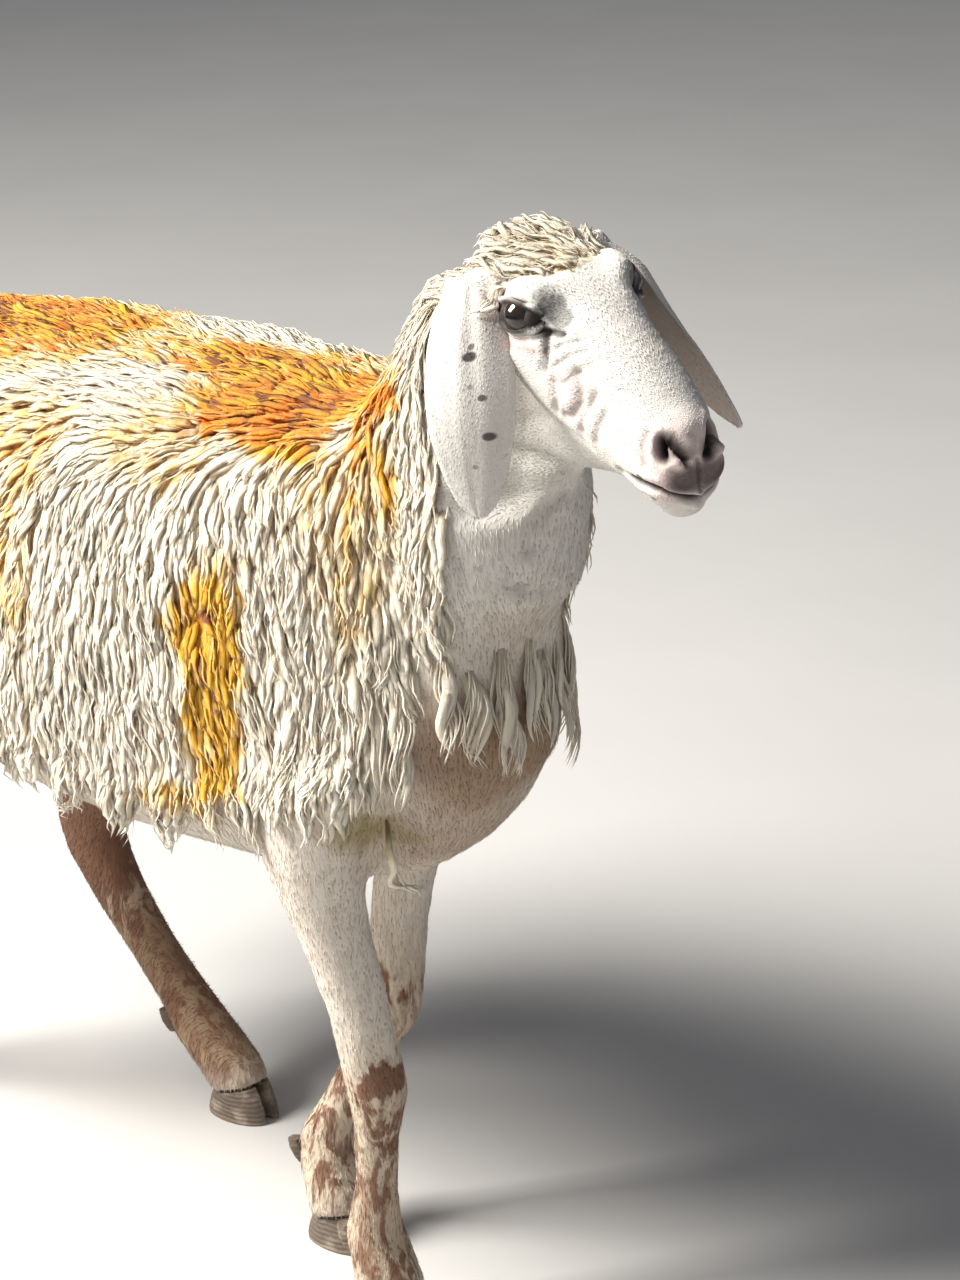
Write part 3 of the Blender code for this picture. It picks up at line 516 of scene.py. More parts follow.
def narrow_jaw(points):
    """Draw the jaw in under the cheek's lower edge, so that its sides face downwards."""
    head = head_places(points)
    edge = read_off(head[:, 0], CHEEK_EDGE)
    below = edge - head[:, 2]
    reach = ramp(head[:, 0], 0.005, 0.050) * (1 - ramp(head[:, 0], 0.165, 0.200))
    ridge = CHEEK_RIDGE * hump(below, -0.004, 0.008) * reach
    head[:, 1] *= 1 - JAW_DRAW * ramp(below, 0.0, 0.060) * reach
    head[:, 1] += np.sign(head[:, 1]) * ridge
    return np.array(HEAD_ORIGIN) + HEAD_SCALE * head @ np.array(HEAD_AXES).T


def on_surface(tree, line, side):
    """A line of the head's frame laid on the skin on one side, in world metres."""
    laid = []
    line = metres(line)
    for a, b in zip(line, line[1:]):
        for share in (0.0, 0.25, 0.5, 0.75):
            x, y, z = (p + (q - p) * share for p, q in zip(a, b))
            laid.append(tree.find_nearest(head_point((x, y * side, z)))[0])
    x, y, z = line[-1]
    laid.append(tree.find_nearest(head_point((x, y * side, z)))[0])
    return [tuple(point) for point in laid]


def swelling(head, form, side):
    """How far one soft form lifts each place of the head."""
    centre, radii, height = form
    away = (head - metres(centre) * (1, side, 1)) / metres(radii)
    return height / 1000 * np.exp(-dot(away, away))


def shape_face(skin, points, normals):
    """Press the lines and forms of the face into the skin; also gives the painted shade of the
    lines at each place.
    """
    head = head_places(points)
    move = np.zeros(len(points))
    dark = np.zeros(len(points))
    near = np.nonzero((head[:, 0] > 0.03) & (head[:, 0] < 0.26) & (head[:, 2] > -0.14))[0]
    tree = BVHTree.FromObject(skin, bpy.context.evaluated_depsgraph_get())
    for side in (1, -1):
        for line, width, depth, shade in FACE_LINES.values():
            gap = along_line(points[near], on_surface(tree, line, side))
            width, depth = metres((width, depth))
            move[near] -= depth * hump(gap, 0, width)
            dark[near] = np.maximum(dark[near], shade * np.exp(-(gap / (1.15 * width)) ** 4))
        for form in FACE_FORMS:
            move += swelling(head, form, side)
    move += swelling(head, FAR_BROW, 1)
    for line in THROAT_FOLDS:
        laid = [tuple(tree.find_nearest(Vector(place))[0]) for place in metres(line)]
        move -= FOLD_DEPTH * hump(along_line(points, laid), 0, 0.0050)
        lower = np.array(laid) - (0, 0, FOLD_DROP)
        move += FOLD_SWELL * hump(along_line(points, lower), 0, 0.0070)
    return points + normals * move[:, None], dark


def refine_head(skin):
    """Finer faces on the head, finer still round eyes, nostrils and mouth."""
    points = read_points(skin.data)
    refine(skin, face_mask(points) > 0.02)
    points = read_points(skin.data)
    relax(skin, (face_mask(points) > 0.05) * 1.0, 0.5, 3)
    eyes = [np.array(middle("eye_" + side)) for side in ("left", "right")]

    def fine(points, limit, muzzle_start):
        head = head_places(points)
        near = np.minimum(*(np.linalg.norm(points - eye, axis=1) for eye in eyes)) < limit
        return near | ((head[:, 0] > muzzle_start) & (face_mask(points) > 0.5))

    for limit, muzzle_start in ((0.032, 0.100), (0.023, 0.196)):
        refine(skin, fine(read_points(skin.data), limit, muzzle_start))
        relax(skin, fine(read_points(skin.data), limit, muzzle_start) * 1.0, 0.5, 3)


EAR_PROFILE = ((0.00, 0.50), (0.08, 0.72), (0.22, 0.92), (0.42, 1.00), (0.60, 0.94),
               (0.78, 0.74), (0.90, 0.53), (0.965, 0.36), (1.00, 0.12))
EAR_RINGS = 64
EAR_SEAT = 0.17            # the share of the ear that runs into the head
EAR_SINK = 0.014
EAR_ACROSS = 26
# creases along the ear: (place across it, width, depth, deepest at the root and not at the tip)
EAR_CREASES = ((-0.10, 0.16, 0.0022, True), (0.42, 0.10, 0.0013, True),
               (0.10, 0.08, 0.0008, False))
EAR_ROLL = 0.0016              # height of the rolled rim


def ear_axes(side):
    """An ear's root, the way it hangs, the way its outer face looks and the way across it."""
    _, lean, facing, _ = EAR_SET["ear_left" if side > 0 else "ear_right"]
    down = unit(np.array(lean, float))
    outward = np.array(facing, float)
    outward = unit(outward - down * (outward @ down))
    root = np.array(head_point((EAR_ROOT[0], EAR_ROOT[1] * side, EAR_ROOT[2])))
    return root, down, outward, unit(np.cross(down, outward))


def ear_leaf(side, swing):
    """Points and triangles of one hanging ear: a bowed leaf with a rolled rim and creases."""
    root, down, outward, broad = ear_axes(side)
    shares = 1 - (1 - np.linspace(0, 1, EAR_RINGS)) ** 1.25
    widths = read_off(shares, EAR_PROFILE)
    widths = np.convolve(np.pad(widths, 3, "edge"), np.ones(7) / 7, "valid")
    rows = []
    for share, width in zip(shares, widths):
        half = EAR_HALF_WIDTH * width
        hang = swing * math.sin(math.pi * min(share, 1.0))
        sunk = max(1 - share / EAR_SEAT, 0.0) ** 2
        centre = root + down * (EAR_LENGTH * share - 0.010 * sunk) + outward * hang
        centre = centre - outward * (EAR_SINK * sunk)
        thick = EAR_THICKNESS * (0.75 + 0.75 * (1 - share) ** 3)
        outer = []
        inner = []
        for step in range(EAR_ACROSS + 1):
            across = -math.cos(math.pi * step / EAR_ACROSS)
            bow = 0.24 * half * (1 - across ** 2) * (1.6 - share)
            edge = 0.5 * thick * max(1 - 0.75 * across ** 2, 0.3)
            edge *= math.sin(math.pi * (step + 0.35) / (EAR_ACROSS + 0.7)) ** 0.35
            crease = sum(depth * hump(across, middle, width) * (1 - share if high else share)
                         for middle, width, depth, high in EAR_CREASES)
            roll = EAR_ROLL * hump(abs(across), 0.90, 0.10)
            wave = 0.0012 * math.sin(9.0 * share + 2.0 * across) * abs(across)
            spot = centre + broad * half * across + outward * (bow - crease + wave)
            outer.append(spot + outward * (edge + roll * 0.4))
            inner.append(spot - outward * edge)
        rows.append(outer + inner[::-1])
    points = np.array(rows).reshape(-1, 3)
    count = 2 * (EAR_ACROSS + 1)
    triangles = []
    for ring in range(EAR_RINGS - 1):
        for step in range(count):
            a = ring * count + step
            b = ring * count + (step + 1) % count
            triangles += [(a, b, b + count), (a, b + count, a + count)]
    for ring, turn in ((0, -1), (EAR_RINGS - 1, 1)):
        fan = [ring * count + step for step in range(count)]
        for step in range(1, count // 2):
            quad = (fan[step - 1], fan[step], fan[-step - 1], fan[-step])[::turn]
            triangles += [quad[:3], (quad[0], quad[2], quad[3])]
    return points, np.array(triangles)


def add_ears(skin):
    """Join both ears to the skin."""
    shape = bmesh.new()
    shape.from_mesh(skin.data)
    body_points = len(shape.verts)
    for side, _, _, swing in EAR_SET.values():
        points, triangles = ear_leaf(side, swing)
        verts = [shape.verts.new(point) for point in points]
        for triangle in triangles:
            corners = [verts[index] for index in triangle]
            if len(set(corners)) == 3:
                shape.faces.new(corners)
    shape.verts.index_update()
    ear_faces = [face for face in shape.faces if face.verts[0].index >= body_points]
    bmesh.ops.recalc_face_normals(shape, faces=ear_faces)
    bmesh.ops.triangulate(shape, faces=shape.faces[:])
    shape.to_mesh(skin.data)
    shape.free()
    return body_points


LIE_STATIONS = (-0.45, -0.10, 0.10, 0.25)    # places along the body
LIE_SLANT = (-0.55, -0.22, 0.06, 0.12)       # how far forwards the hair slants there


def lie_of_hair(points, normals, face, ear):
    """The way the hair lies: down and back on the body, back along the face, down the ears."""
    flow = np.tile(np.array([0.0, 0.0, -1.0]), (len(points), 1))
    flow[:, 0] = np.interp(points[:, 0], LIE_STATIONS, LIE_SLANT)
    flow += ramp(normals[:, 2], 0.35, 0.85)[:, None] * np.array([-1.1, 0, 0.3])
    backwards = -np.array(HEAD_AXES @ Vector((1, 0, 0.25)))
    flow = flow * (1 - face)[:, None] + backwards * face[:, None]
    for side in (1, -1):
        flow = np.where((ear == side)[:, None], ear_axes(side)[1], flow)
    flow -= normals * dot(flow, normals)[:, None]
    return unit(flow)


def head_unwrap(points, normals, ear):
    """Where each point of the head goes on its unwrap, with the ears' faces in a band above."""
    head = head_places(points)
    turn = np.arctan2(head[:, 1], head[:, 2] + 0.065) / math.tau + 0.5
    ahead = np.clip(head[:, 0] / 0.27 + 0.15, 0, 1)
    place = np.stack([0.02 + 0.96 * turn, 0.02 + 0.66 * ahead], 1)
    for side in (1, -1):
        root, down, outward, broad = ear_axes(side)
        share = np.clip((points - root) @ down / EAR_LENGTH, 0, 1)
        across = np.clip((points - root) @ broad / (2 * EAR_HALF_WIDTH) + 0.5, 0, 1)
        column = (0 if side < 0 else 2) + np.where(normals @ outward > 0, 0, 1)
        on_ear = np.stack([0.02 + 0.24 * (column + 0.92 * across), 0.72 + 0.26 * share], 1)
        place = np.where((ear == side)[:, None], on_ear, place)
    return place


BELLY_HEIGHT = 0.40
# the middles of the legs: front right, front left, rear right, rear left
LEG_AXES_X = (0.21, 0.095, -0.395, -0.245)
LEG_AXES_Y = (-0.08, 0.07, -0.08, 0.07)


def leg_unwrap(points):
    """The unwrap of belly and legs: four leg columns, and the belly in a band above them."""
    x, y, z = points.T
    front = x > 0
    left = y > 0
    column = np.where(front, 0, 2) + np.where(left, 1, 0)
    axis_x = np.array(LEG_AXES_X)[column]
    axis_y = np.array(LEG_AXES_Y)[column]
    turn = np.arctan2(y - axis_y, x - axis_x) / math.tau + 0.5
    up = np.clip(z / BELLY_HEIGHT, 0, 1)
    on_leg = np.stack([0.01 + 0.245 * (column + 0.96 * turn), 0.02 + 0.66 * up], 1)
    belly = np.stack([0.02 + 0.96 * np.clip((x + 0.46) / 0.84, 0, 1),
                      0.72 + 0.26 * np.clip((y + 0.19) / 0.38, 0, 1)], 1)
    return np.where((z > BELLY_HEIGHT)[:, None], belly, on_leg)


# shares of the length and the density that the short hair has elsewhere
EAR_HAIR_LENGTH = 0.60
EAR_HAIR_DENSITY = 0.55
LID_HAIR_LENGTH = 0.45
SHORTER_MUZZLE = 0.60         # what the hair loses of its length towards the muzzle
BARER_MUZZLE = 0.70           # and of its density


def mark_skin(skin, body_points, dark):
    """Write the masks and the lie of the hair on the skin, for its finish and its short coat."""
    points = read_points(skin.data)
    normals = read_normals(skin.data)
    ear = np.zeros(len(points))
    ear[body_points:] = np.where(points[body_points:, 1] > float(HEAD_ORIGIN.y), 1, -1)
    on_head = ear == 0
    face = np.where(on_head, face_mask(points), 1.0)
    wool = np.where(on_head, wool_mask(points, normals), 0.0)
    dark = np.concatenate([dark, np.zeros(len(points) - body_points)])
    head = head_places(points)
    length = np.full(len(points), 1.0)
    length *= 1 - SHORTER_MUZZLE * ramp(head[:, 0], 0.160, 0.210) * face * on_head
    length *= np.where(on_head, 1.0, EAR_HAIR_LENGTH)
    density = (1 - ramp(wool, 0.55, 0.85)) * np.where(on_head, 1.0, EAR_HAIR_DENSITY)
    density *= 1 - BARER_MUZZLE * ramp(head[:, 0], 0.214, 0.226) * face * on_head
    lid_gap = np.full(len(points), 1.0)
    for side in (1, -1):
        along, high, front, reach = eye_places(points, side)
        outside = -slit_depth(along, high)
        close = (front > 0) & (reach < EYE_RADIUS + 0.012) & on_head
        lid_gap = np.where(close, np.minimum(lid_gap, outside), lid_gap)
        rim = np.where(high > 0, UPPER_RIM, LOWER_RIM)
        dark = np.where(close, np.maximum(dark, 1 - ramp(outside, 0.8 * rim, 1.5 * rim)), dark)
        length *= np.where(close, LID_HAIR_LENGTH, 1.0)
    density *= ramp(lid_gap, 0.0024, 0.0046) * (1 - ramp(dark, 0.35, 0.7))
    inner = np.zeros(len(points))
    for side in (1, -1):
        inner = np.where(ear == side, ramp(-normals @ ear_axes(side)[2], -0.1, 0.3), inner)
    set_attribute(skin.data, "wool", wool)
    set_attribute(skin.data, "face", face)
    # dark: painted shade of the face's lines, and the dark bare rims of the lids
    set_attribute(skin.data, "dark", dark)
    set_attribute(skin.data, "ear", np.abs(ear))
    set_attribute(skin.data, "inner_ear", inner)
    set_attribute(skin.data, "hair_length", length)
    set_attribute(skin.data, "hair_density", density)
    set_attribute(skin.data, "lie", lie_of_hair(points, normals, face, ear), "FLOAT_VECTOR")
    place = np.where((face > 0.5)[:, None], head_unwrap(points, normals, ear), leg_unwrap(points))
    set_attribute(skin.data, "place_u", place[:, 0])
    set_attribute(skin.data, "place_v", place[:, 1])


def build_skin():
    skin = fused_flesh()
    sink_under_coat(skin)
    refine_head(skin)
    narrowed = narrow_jaw(read_points(skin.data))
    is_face = face_mask(read_points(skin.data))[:, None]
    write_points(skin.data, read_points(skin.data) * (1 - is_face) + narrowed * is_face)
    points, dark = shape_face(skin, read_points(skin.data), read_normals(skin.data))
    write_points(skin.data, shape_lids(points))
    body_points = add_ears(skin)
    mark_skin(skin, body_points, dark)
    skin.data.shade_smooth()
    return skin


# ---- the fleece ----------------------------------------------------------------------------
GUIDE_STEPS = 8
PATCH = 0.003                 # a tuft's own patch on the unwrap
GRAVITY = np.array([0.0, 0.0, -1.0])
LOCK_LENGTH = 0.036           # length of the shortest locks of the fleece
BUNDLE_LENGTH = 0.074         # and of the shortest bundles of the bib
BUNDLE_WEIGHT = 1.30
ROOT_DEPTH = 0.0015           # how deep the locks are rooted
WAVE = 0.030                  # length of one wave of the wool
BOX_LOW, BOX_HIGH = (np.array(corner) for corner in CAD_BOX)
BOX_MARGIN = 0.0015


def scatter(mesh, weights, spacing, rng):
    """Random places on a mesh, no closer together than the spacing, where the weights allow."""
    points = read_points(mesh)
    mesh.calc_loop_triangles()
    corners = np.empty(len(mesh.loop_triangles) * 3, np.int32)
    mesh.loop_triangles.foreach_get("vertices", corners)
    corners = corners.reshape(-1, 3)
    a, b, c = (points[corners[:, k]] for k in range(3))
    area = np.linalg.norm(np.cross(b - a, c - a), axis=1) / 2
    worth = area * weights[corners].mean(axis=1)
    count = int(3.0 * worth.sum() / spacing ** 2)
    faces = rng.choice(len(corners), size=count, p=worth / worth.sum())
    r1 = np.sqrt(rng.random(count))
    r2 = rng.random(count)
    shares = np.stack([1 - r1, r1 * (1 - r2), r1 * r2], axis=1)
    places = np.einsum("nk,nkd->nd", shares, points[corners[faces]])
    tree = KDTree(count)
    for index, place in enumerate(places):
        tree.insert(place, index)
    tree.balance()
    kept = np.ones(count, bool)
    for index, place in enumerate(places):
        if kept[index]:
            for _, other, _ in tree.find_range(place, spacing):
                if other > index:
                    kept[other] = False
    return places[kept]


def nearest_skin(tree, points):
    """The closest skin point and its normal for each of many points."""
    flat = points.reshape(-1, 3)
    close = np.empty_like(flat)
    normals = np.empty_like(flat)
    for index, point in enumerate(flat):
        spot, normal, _, _ = tree.find_nearest(point)
        close[index] = spot
        normals[index] = normal
    return close.reshape(points.shape), normals.reshape(points.shape)


def wool_character(places, rng):
    """Length, lift, weight, curl and gathering of the lock of fleece at each place."""
    x, y, z = places.T
    count = len(places)
    patchy = ripple(places, 16.0, 3.1)
    fine = ripple(places, 45.0, 9.7)
    hem_gap = z - hem_height(x)
    poll = poll_mask(head_places(places)) * ramp(head_places(places)[:, 0], -0.05, 0.0)
    near_hem = 1 - ramp(hem_gap, 0.010, 0.080)
    tail = 1 - ramp(x, -0.470, -0.440)
    neck = ramp(x, 0.215, 0.285) * ramp(z, 0.60, 0.68)
    length = LOCK_LENGTH + 0.009 * patchy + 0.005 * fine + 0.008 * rng.random(count)
    length += 0.012 * near_hem + 0.010 * neck
    length *= (1 - 0.40 * poll) * (1 - 0.40 * tail)
    ridge = ramp(z, 0.70, 0.74) * (1 - ramp(x, 0.20, 0.24))
    lift = 0.035 + 0.03 * rng.standard_normal(count) + 0.06 * np.maximum(patchy, 0)
    lift = lift + 0.04 * near_hem
    lift = lift + 0.26 * ridge * (rng.random(count) < 0.3)
    lift = np.clip(lift * (1 - 0.45 * tail) * (1 - 0.6 * poll), 0.01, 0.40)
    weight = 0.06 + 0.45 * near_hem
    curl = 0.0010 + 0.0009 * rng.random(count) + 0.0012 * near_hem + 0.0007 * neck
    gather = 0.15 + 0.30 * rng.random(count) + 0.35 * near_hem + 0.15 * neck
    return length, lift, weight, curl, np.clip(gather, 0, 0.92)


def bib_character(places, rng):
    """The same for the long flat bundles that hang from the breast."""
    count = len(places)
    length = BUNDLE_LENGTH + 0.032 * rng.random(count)
    lift = 0.12 + 0.08 * rng.random(count)
    weight = np.full(count, BUNDLE_WEIGHT)
    curl = 0.0014 + 0.0016 * rng.random(count)
    gather = np.full(count, 0.10)
    return length, lift, weight, curl, gather


def grow_guides(tree, roots, normals, length, lift, weight, jitter, rng):
    """The middle line of every lock, grown along the lie of the coat and kept off the skin."""
    count = len(roots)
    guides = np.empty((count, GUIDE_STEPS + 1, 3))
    tops = np.empty((count, GUIDE_STEPS + 1, 3))
    guides[:, 0] = roots - normals * ROOT_DEPTH
    tops[:, 0] = normals
    sway = rng.standard_normal((count, 3)) * jitter
    sway += np.stack([ripple(roots, 22.0, seed) for seed in (1.3, 4.9, 8.2)], 1) * (3.2 * jitter)
    normal = normals
    zero = np.zeros(count)
    for step in range(GUIDE_STEPS):
        share = (step + 0.5) / GUIDE_STEPS
        flow = lie_of_hair(guides[:, step], normal, zero, zero) + sway * (0.5 + 0.5 * share)
        flow = unit(flow - normal * dot(flow, normal)[:, None])
        rise = lift * (1.6 - 1.5 * share)
        heading = unit(flow + normal * rise[:, None])
        heading = unit(heading + GRAVITY * (weight * (0.35 + share))[:, None])
        point = guides[:, step] + heading * (length / GUIDE_STEPS)[:, None]
        close, normal = nearest_skin(tree, point)
        height = dot(point - close, normal)
        least = 0.0015 + 0.0032 * share
        point = point + normal * np.maximum(least - height, 0)[:, None]
        guides[:, step + 1] = point
        tops[:, step + 1] = normal
    return guides, tops


def along_guides(values, shares):
    """Values of guides read at other shares of their length."""
    steps = values.shape[1] - 1
    place = shares * steps
    cell = np.minimum(place.astype(int), steps - 1)
    part = (place - cell)[None, :, None]
    return values[:, cell] * (1 - part) + values[:, cell + 1] * part


def lock_strands(guides, tops, length, curl, gather, layer, rng):
    """The wavy strands of every lock: they start apart and gather towards the lock's tip."""
    count = len(guides)
    owner = np.repeat(np.arange(count), layer["per_lock"])
    total = len(owner)
    shares = np.linspace(0, 1, layer["steps"] + 1)
    lines = along_guides(guides, shares)[owner]
    up = unit(along_guides(tops, shares))[owner]
    ahead = unit(np.gradient(lines, axis=1))
    side = unit(np.cross(ahead, up))
    up = unit(np.cross(side, ahead))
    sideways = (rng.random(total) * 2 - 1) * layer["spread"]
    lengthways = (rng.random(total) * 2 - 1) * layer["spread"] * 0.8
    close_in = 1 - gather[owner][:, None] * shares[None, :] ** 0.9
    close_in = close_in * np.interp(shares, *layer["body"])[None, :]
    lines = lines + side[:, :1] * sideways[:, None, None] * close_in[..., None]
    lines = lines + ahead[:, :1] * lengthways[:, None, None]
    rise = (rng.random(total) - 0.2) * layer["rise"]
    lines = lines + up * (rise[:, None] * shares[None, :])[..., None]
    phase = rng.random(count)[owner] * math.tau + rng.standard_normal(total) * layer["disorder"]
    wave = phase[:, None] + math.tau * shares[None, :] * (length[owner] / WAVE)[:, None]
    swing = curl[owner][:, None] * layer["curl"] * np.minimum(1, 2.5 * shares)[None, :]
    swing = swing * (1 + 0.6 * shares[None, :])
    lines = (lines + side * (np.sin(wave) * swing)[..., None]
             + up * (np.cos(wave) * swing * 0.5)[..., None])
    trim = np.minimum(layer["trim"] + (1.08 - layer["trim"]) * rng.random(total), 1.0)
    cut = shares[None, :] * trim[:, None] * layer["steps"]
    cell = np.minimum(cut.astype(int), layer["steps"] - 1)
    part = (cut - cell)[..., None]
    index = np.arange(total)[:, None]
    lines = lines[index, cell] * (1 - part) + lines[index, cell + 1] * part
    lines = np.clip(lines, BOX_LOW + BOX_MARGIN, BOX_HIGH - BOX_MARGIN)
    profile = np.interp(shares, *layer["profile"])
    widths = layer["width"] * (0.75 + 0.5 * rng.random(total))[:, None] * profile[None, :]
    return owner, lines, side, up, widths


def tube_pieces(name, lines, sides, tops, widths, layer, places, tone):
    """Pointed closed tubes of a few sides along many lines, as one object.

    lines, sides and tops: (tubes, points, 3); widths: (tubes, points); places: (tubes, 2).
    """
    count, rows = lines.shape[:2]
    sector = layer["sector"]
    angles = math.tau * (np.arange(sector) + 0.25) / sector
    rings = lines[:, :-1, None] + (
        sides[:, :-1, None] * np.cos(angles)[:, None]
        + tops[:, :-1, None] * np.sin(angles)[:, None] * layer["flat"]
    ) * (widths[:, :-1, None, None] / 2)
    per = (rows - 1) * sector + 1
    points = np.concatenate([rings.reshape(count, -1, 3), lines[:, -1:]], axis=1)
    triangles = []
    spots = []
    tall = rows - 1
    for row in range(rows - 2):
        for k in range(sector):
            a = row * sector + k
            b = row * sector + (k + 1) % sector
            triangles += [(a, b, b + sector), (a, b + sector, a + sector)]
            u0, u1 = k / sector, (k + 1) / sector
            v0, v1 = row / tall, (row + 1) / tall
            spots += [((u0, v0), (u1, v0), (u1, v1)), ((u0, v0), (u1, v1), (u0, v1))]
    last = (rows - 2) * sector
    for k in range(sector):
        triangles.append((last + k, last + (k + 1) % sector, per - 1))
        u0, u1 = k / sector, (k + 1) / sector
        spots.append(((u0, 1 - 1 / tall), (u1, 1 - 1 / tall), ((u0 + u1) / 2, 1.0)))
    for k in range(1, sector - 1):
        triangles.append((0, k + 1, k))
        spots.append(((0.0, 0.0), (0.5, 0.1), (1.0, 0.0)))
    triangles = np.array(triangles)
    whole = (triangles[None] + (np.arange(count) * per)[:, None, None]).reshape(-1, 3)
    uv = places[:, None, None] + (np.array(spots)[None] - 0.5) * PATCH
    made = triangle_object(name, points.reshape(-1, 3), whole, uv.reshape(-1, 2))
    along = np.concatenate([np.repeat(np.arange(rows - 1) / tall, sector), [1.0]])
    set_attribute(made.data, "along", np.tile(along, count))
    set_attribute(made.data, "tone", np.repeat(tone, per))
    return made


def fleece_region(places, normals):
    """A number for the piece of fleece that each lock belongs to."""
    x, y, z = places.T
    left = (y > 0) * 1
    stretch = np.digitize(x, (-0.26, -0.08, 0.09))
    region = 2 * stretch + left
    region = np.where(normals[:, 2] > 0.66, 8 + (x > -0.09), region)
    neck = (x > 0.215) & (z > 0.56)
    region = np.where(neck, 10 + left, region)
    return np.where(x < -0.405, 12, region)


REGIONS = ("haunch_right", "haunch_left", "loin_right", "loin_left", "ribs_right", "ribs_left",
           "shoulder_right", "shoulder_left", "back_rear", "back_front", "neck_right",
           "neck_left", "rump_and_tail")


def spread_places(places):
    """The unwrap of one region's roots, spread over the whole square."""
    x, y, z = places.T
    out = []
    for values in (x + 0.35 * (z - 0.55), np.arctan2(y, z - 0.55)):
        low, high = np.quantile(values, (0.002, 0.998))
        out.append(0.01 + 0.98 * np.clip((values - low) / max(high - low, 1e-6), 0, 1))
    return np.stack(out, axis=1)


# thin single locks that dangle on their own, each as places along it
HANGING_LOCKS = (
    ((0.266, -0.080, 0.452), (0.274, -0.086, 0.439), (0.271, -0.083, 0.424), (0.263, -0.077, 0.411),
     (0.262, -0.070, 0.402), (0.267, -0.062, 0.396), (0.276, -0.056, 0.390)),
)
STRAND_PROFILE = ((0, 0.15, 0.55, 0.85, 1.0), (0.75, 1.0, 0.92, 0.60, 0.1))
LEAF_PROFILE = ((0, 0.20, 0.50, 0.80, 1.0), (0.60, 1.0, 0.95, 0.55, 0.08))
SPINDLE = ((0, 0.35, 0.62, 0.85, 1.0), (0.35, 1.0, 0.95, 0.50, 0.12))
EVEN = ((0, 1), (1, 1))
POLL_BACK = -0.06
POLL_BOTTOM = -0.09
# how much neighbouring locks differ in direction
FLEECE_JITTER = 0.17
POLL_JITTER = 0.20
BIB_JITTER = 0.06
BIB_WAVES = 0.4               # the bib's bundles have this share of the fleece's waves


def plant(skin, tree, weights, spacing, character, jitter, rng, shorten=None):
    """The way the skin faces under new locks, and the locks: roots, guides, tops and character."""
    roots = scatter(skin.data, weights, spacing, rng)
    _, facing = nearest_skin(tree, roots)
    length, lift, weight, curl, gather = character(roots, rng)
    grown = length * shorten(roots) if shorten else length
    guides, tops = grow_guides(tree, roots, facing, grown, lift, weight, jitter, rng)
    return facing, (roots, guides, tops, length, curl, gather)


def coat_piece(name, locks, layers, rng):
    """One piece of wool: the layers of all its locks, joined."""
    roots, guides, tops, length, curl, gather = locks
    place = spread_places(roots)
    tone = rng.random(len(roots))
    shells = []
    for layer in layers:
        owner, *strands = lock_strands(guides, tops, length, curl, gather, layer, rng)
        strand_tone = np.clip(tone[owner] * 0.5 + 0.5 * rng.random(len(owner)), 0, 1)
        jitter = (rng.random((len(owner), 2)) - 0.5) * 0.006
        spots = np.clip(place[owner] + jitter, 0.002, 0.998)
        shells.append(tube_pieces(name + "_layer", *strands, layer, spots, strand_tone))
    return joined(name, shells)


def forehead_share(roots):
    """Locks shorten towards the lower edge of the wool on the forehead."""
    return 0.35 + 0.65 * ramp(FOREHEAD_WOOL - head_places(roots)[:, 0], 0.0, 0.05)


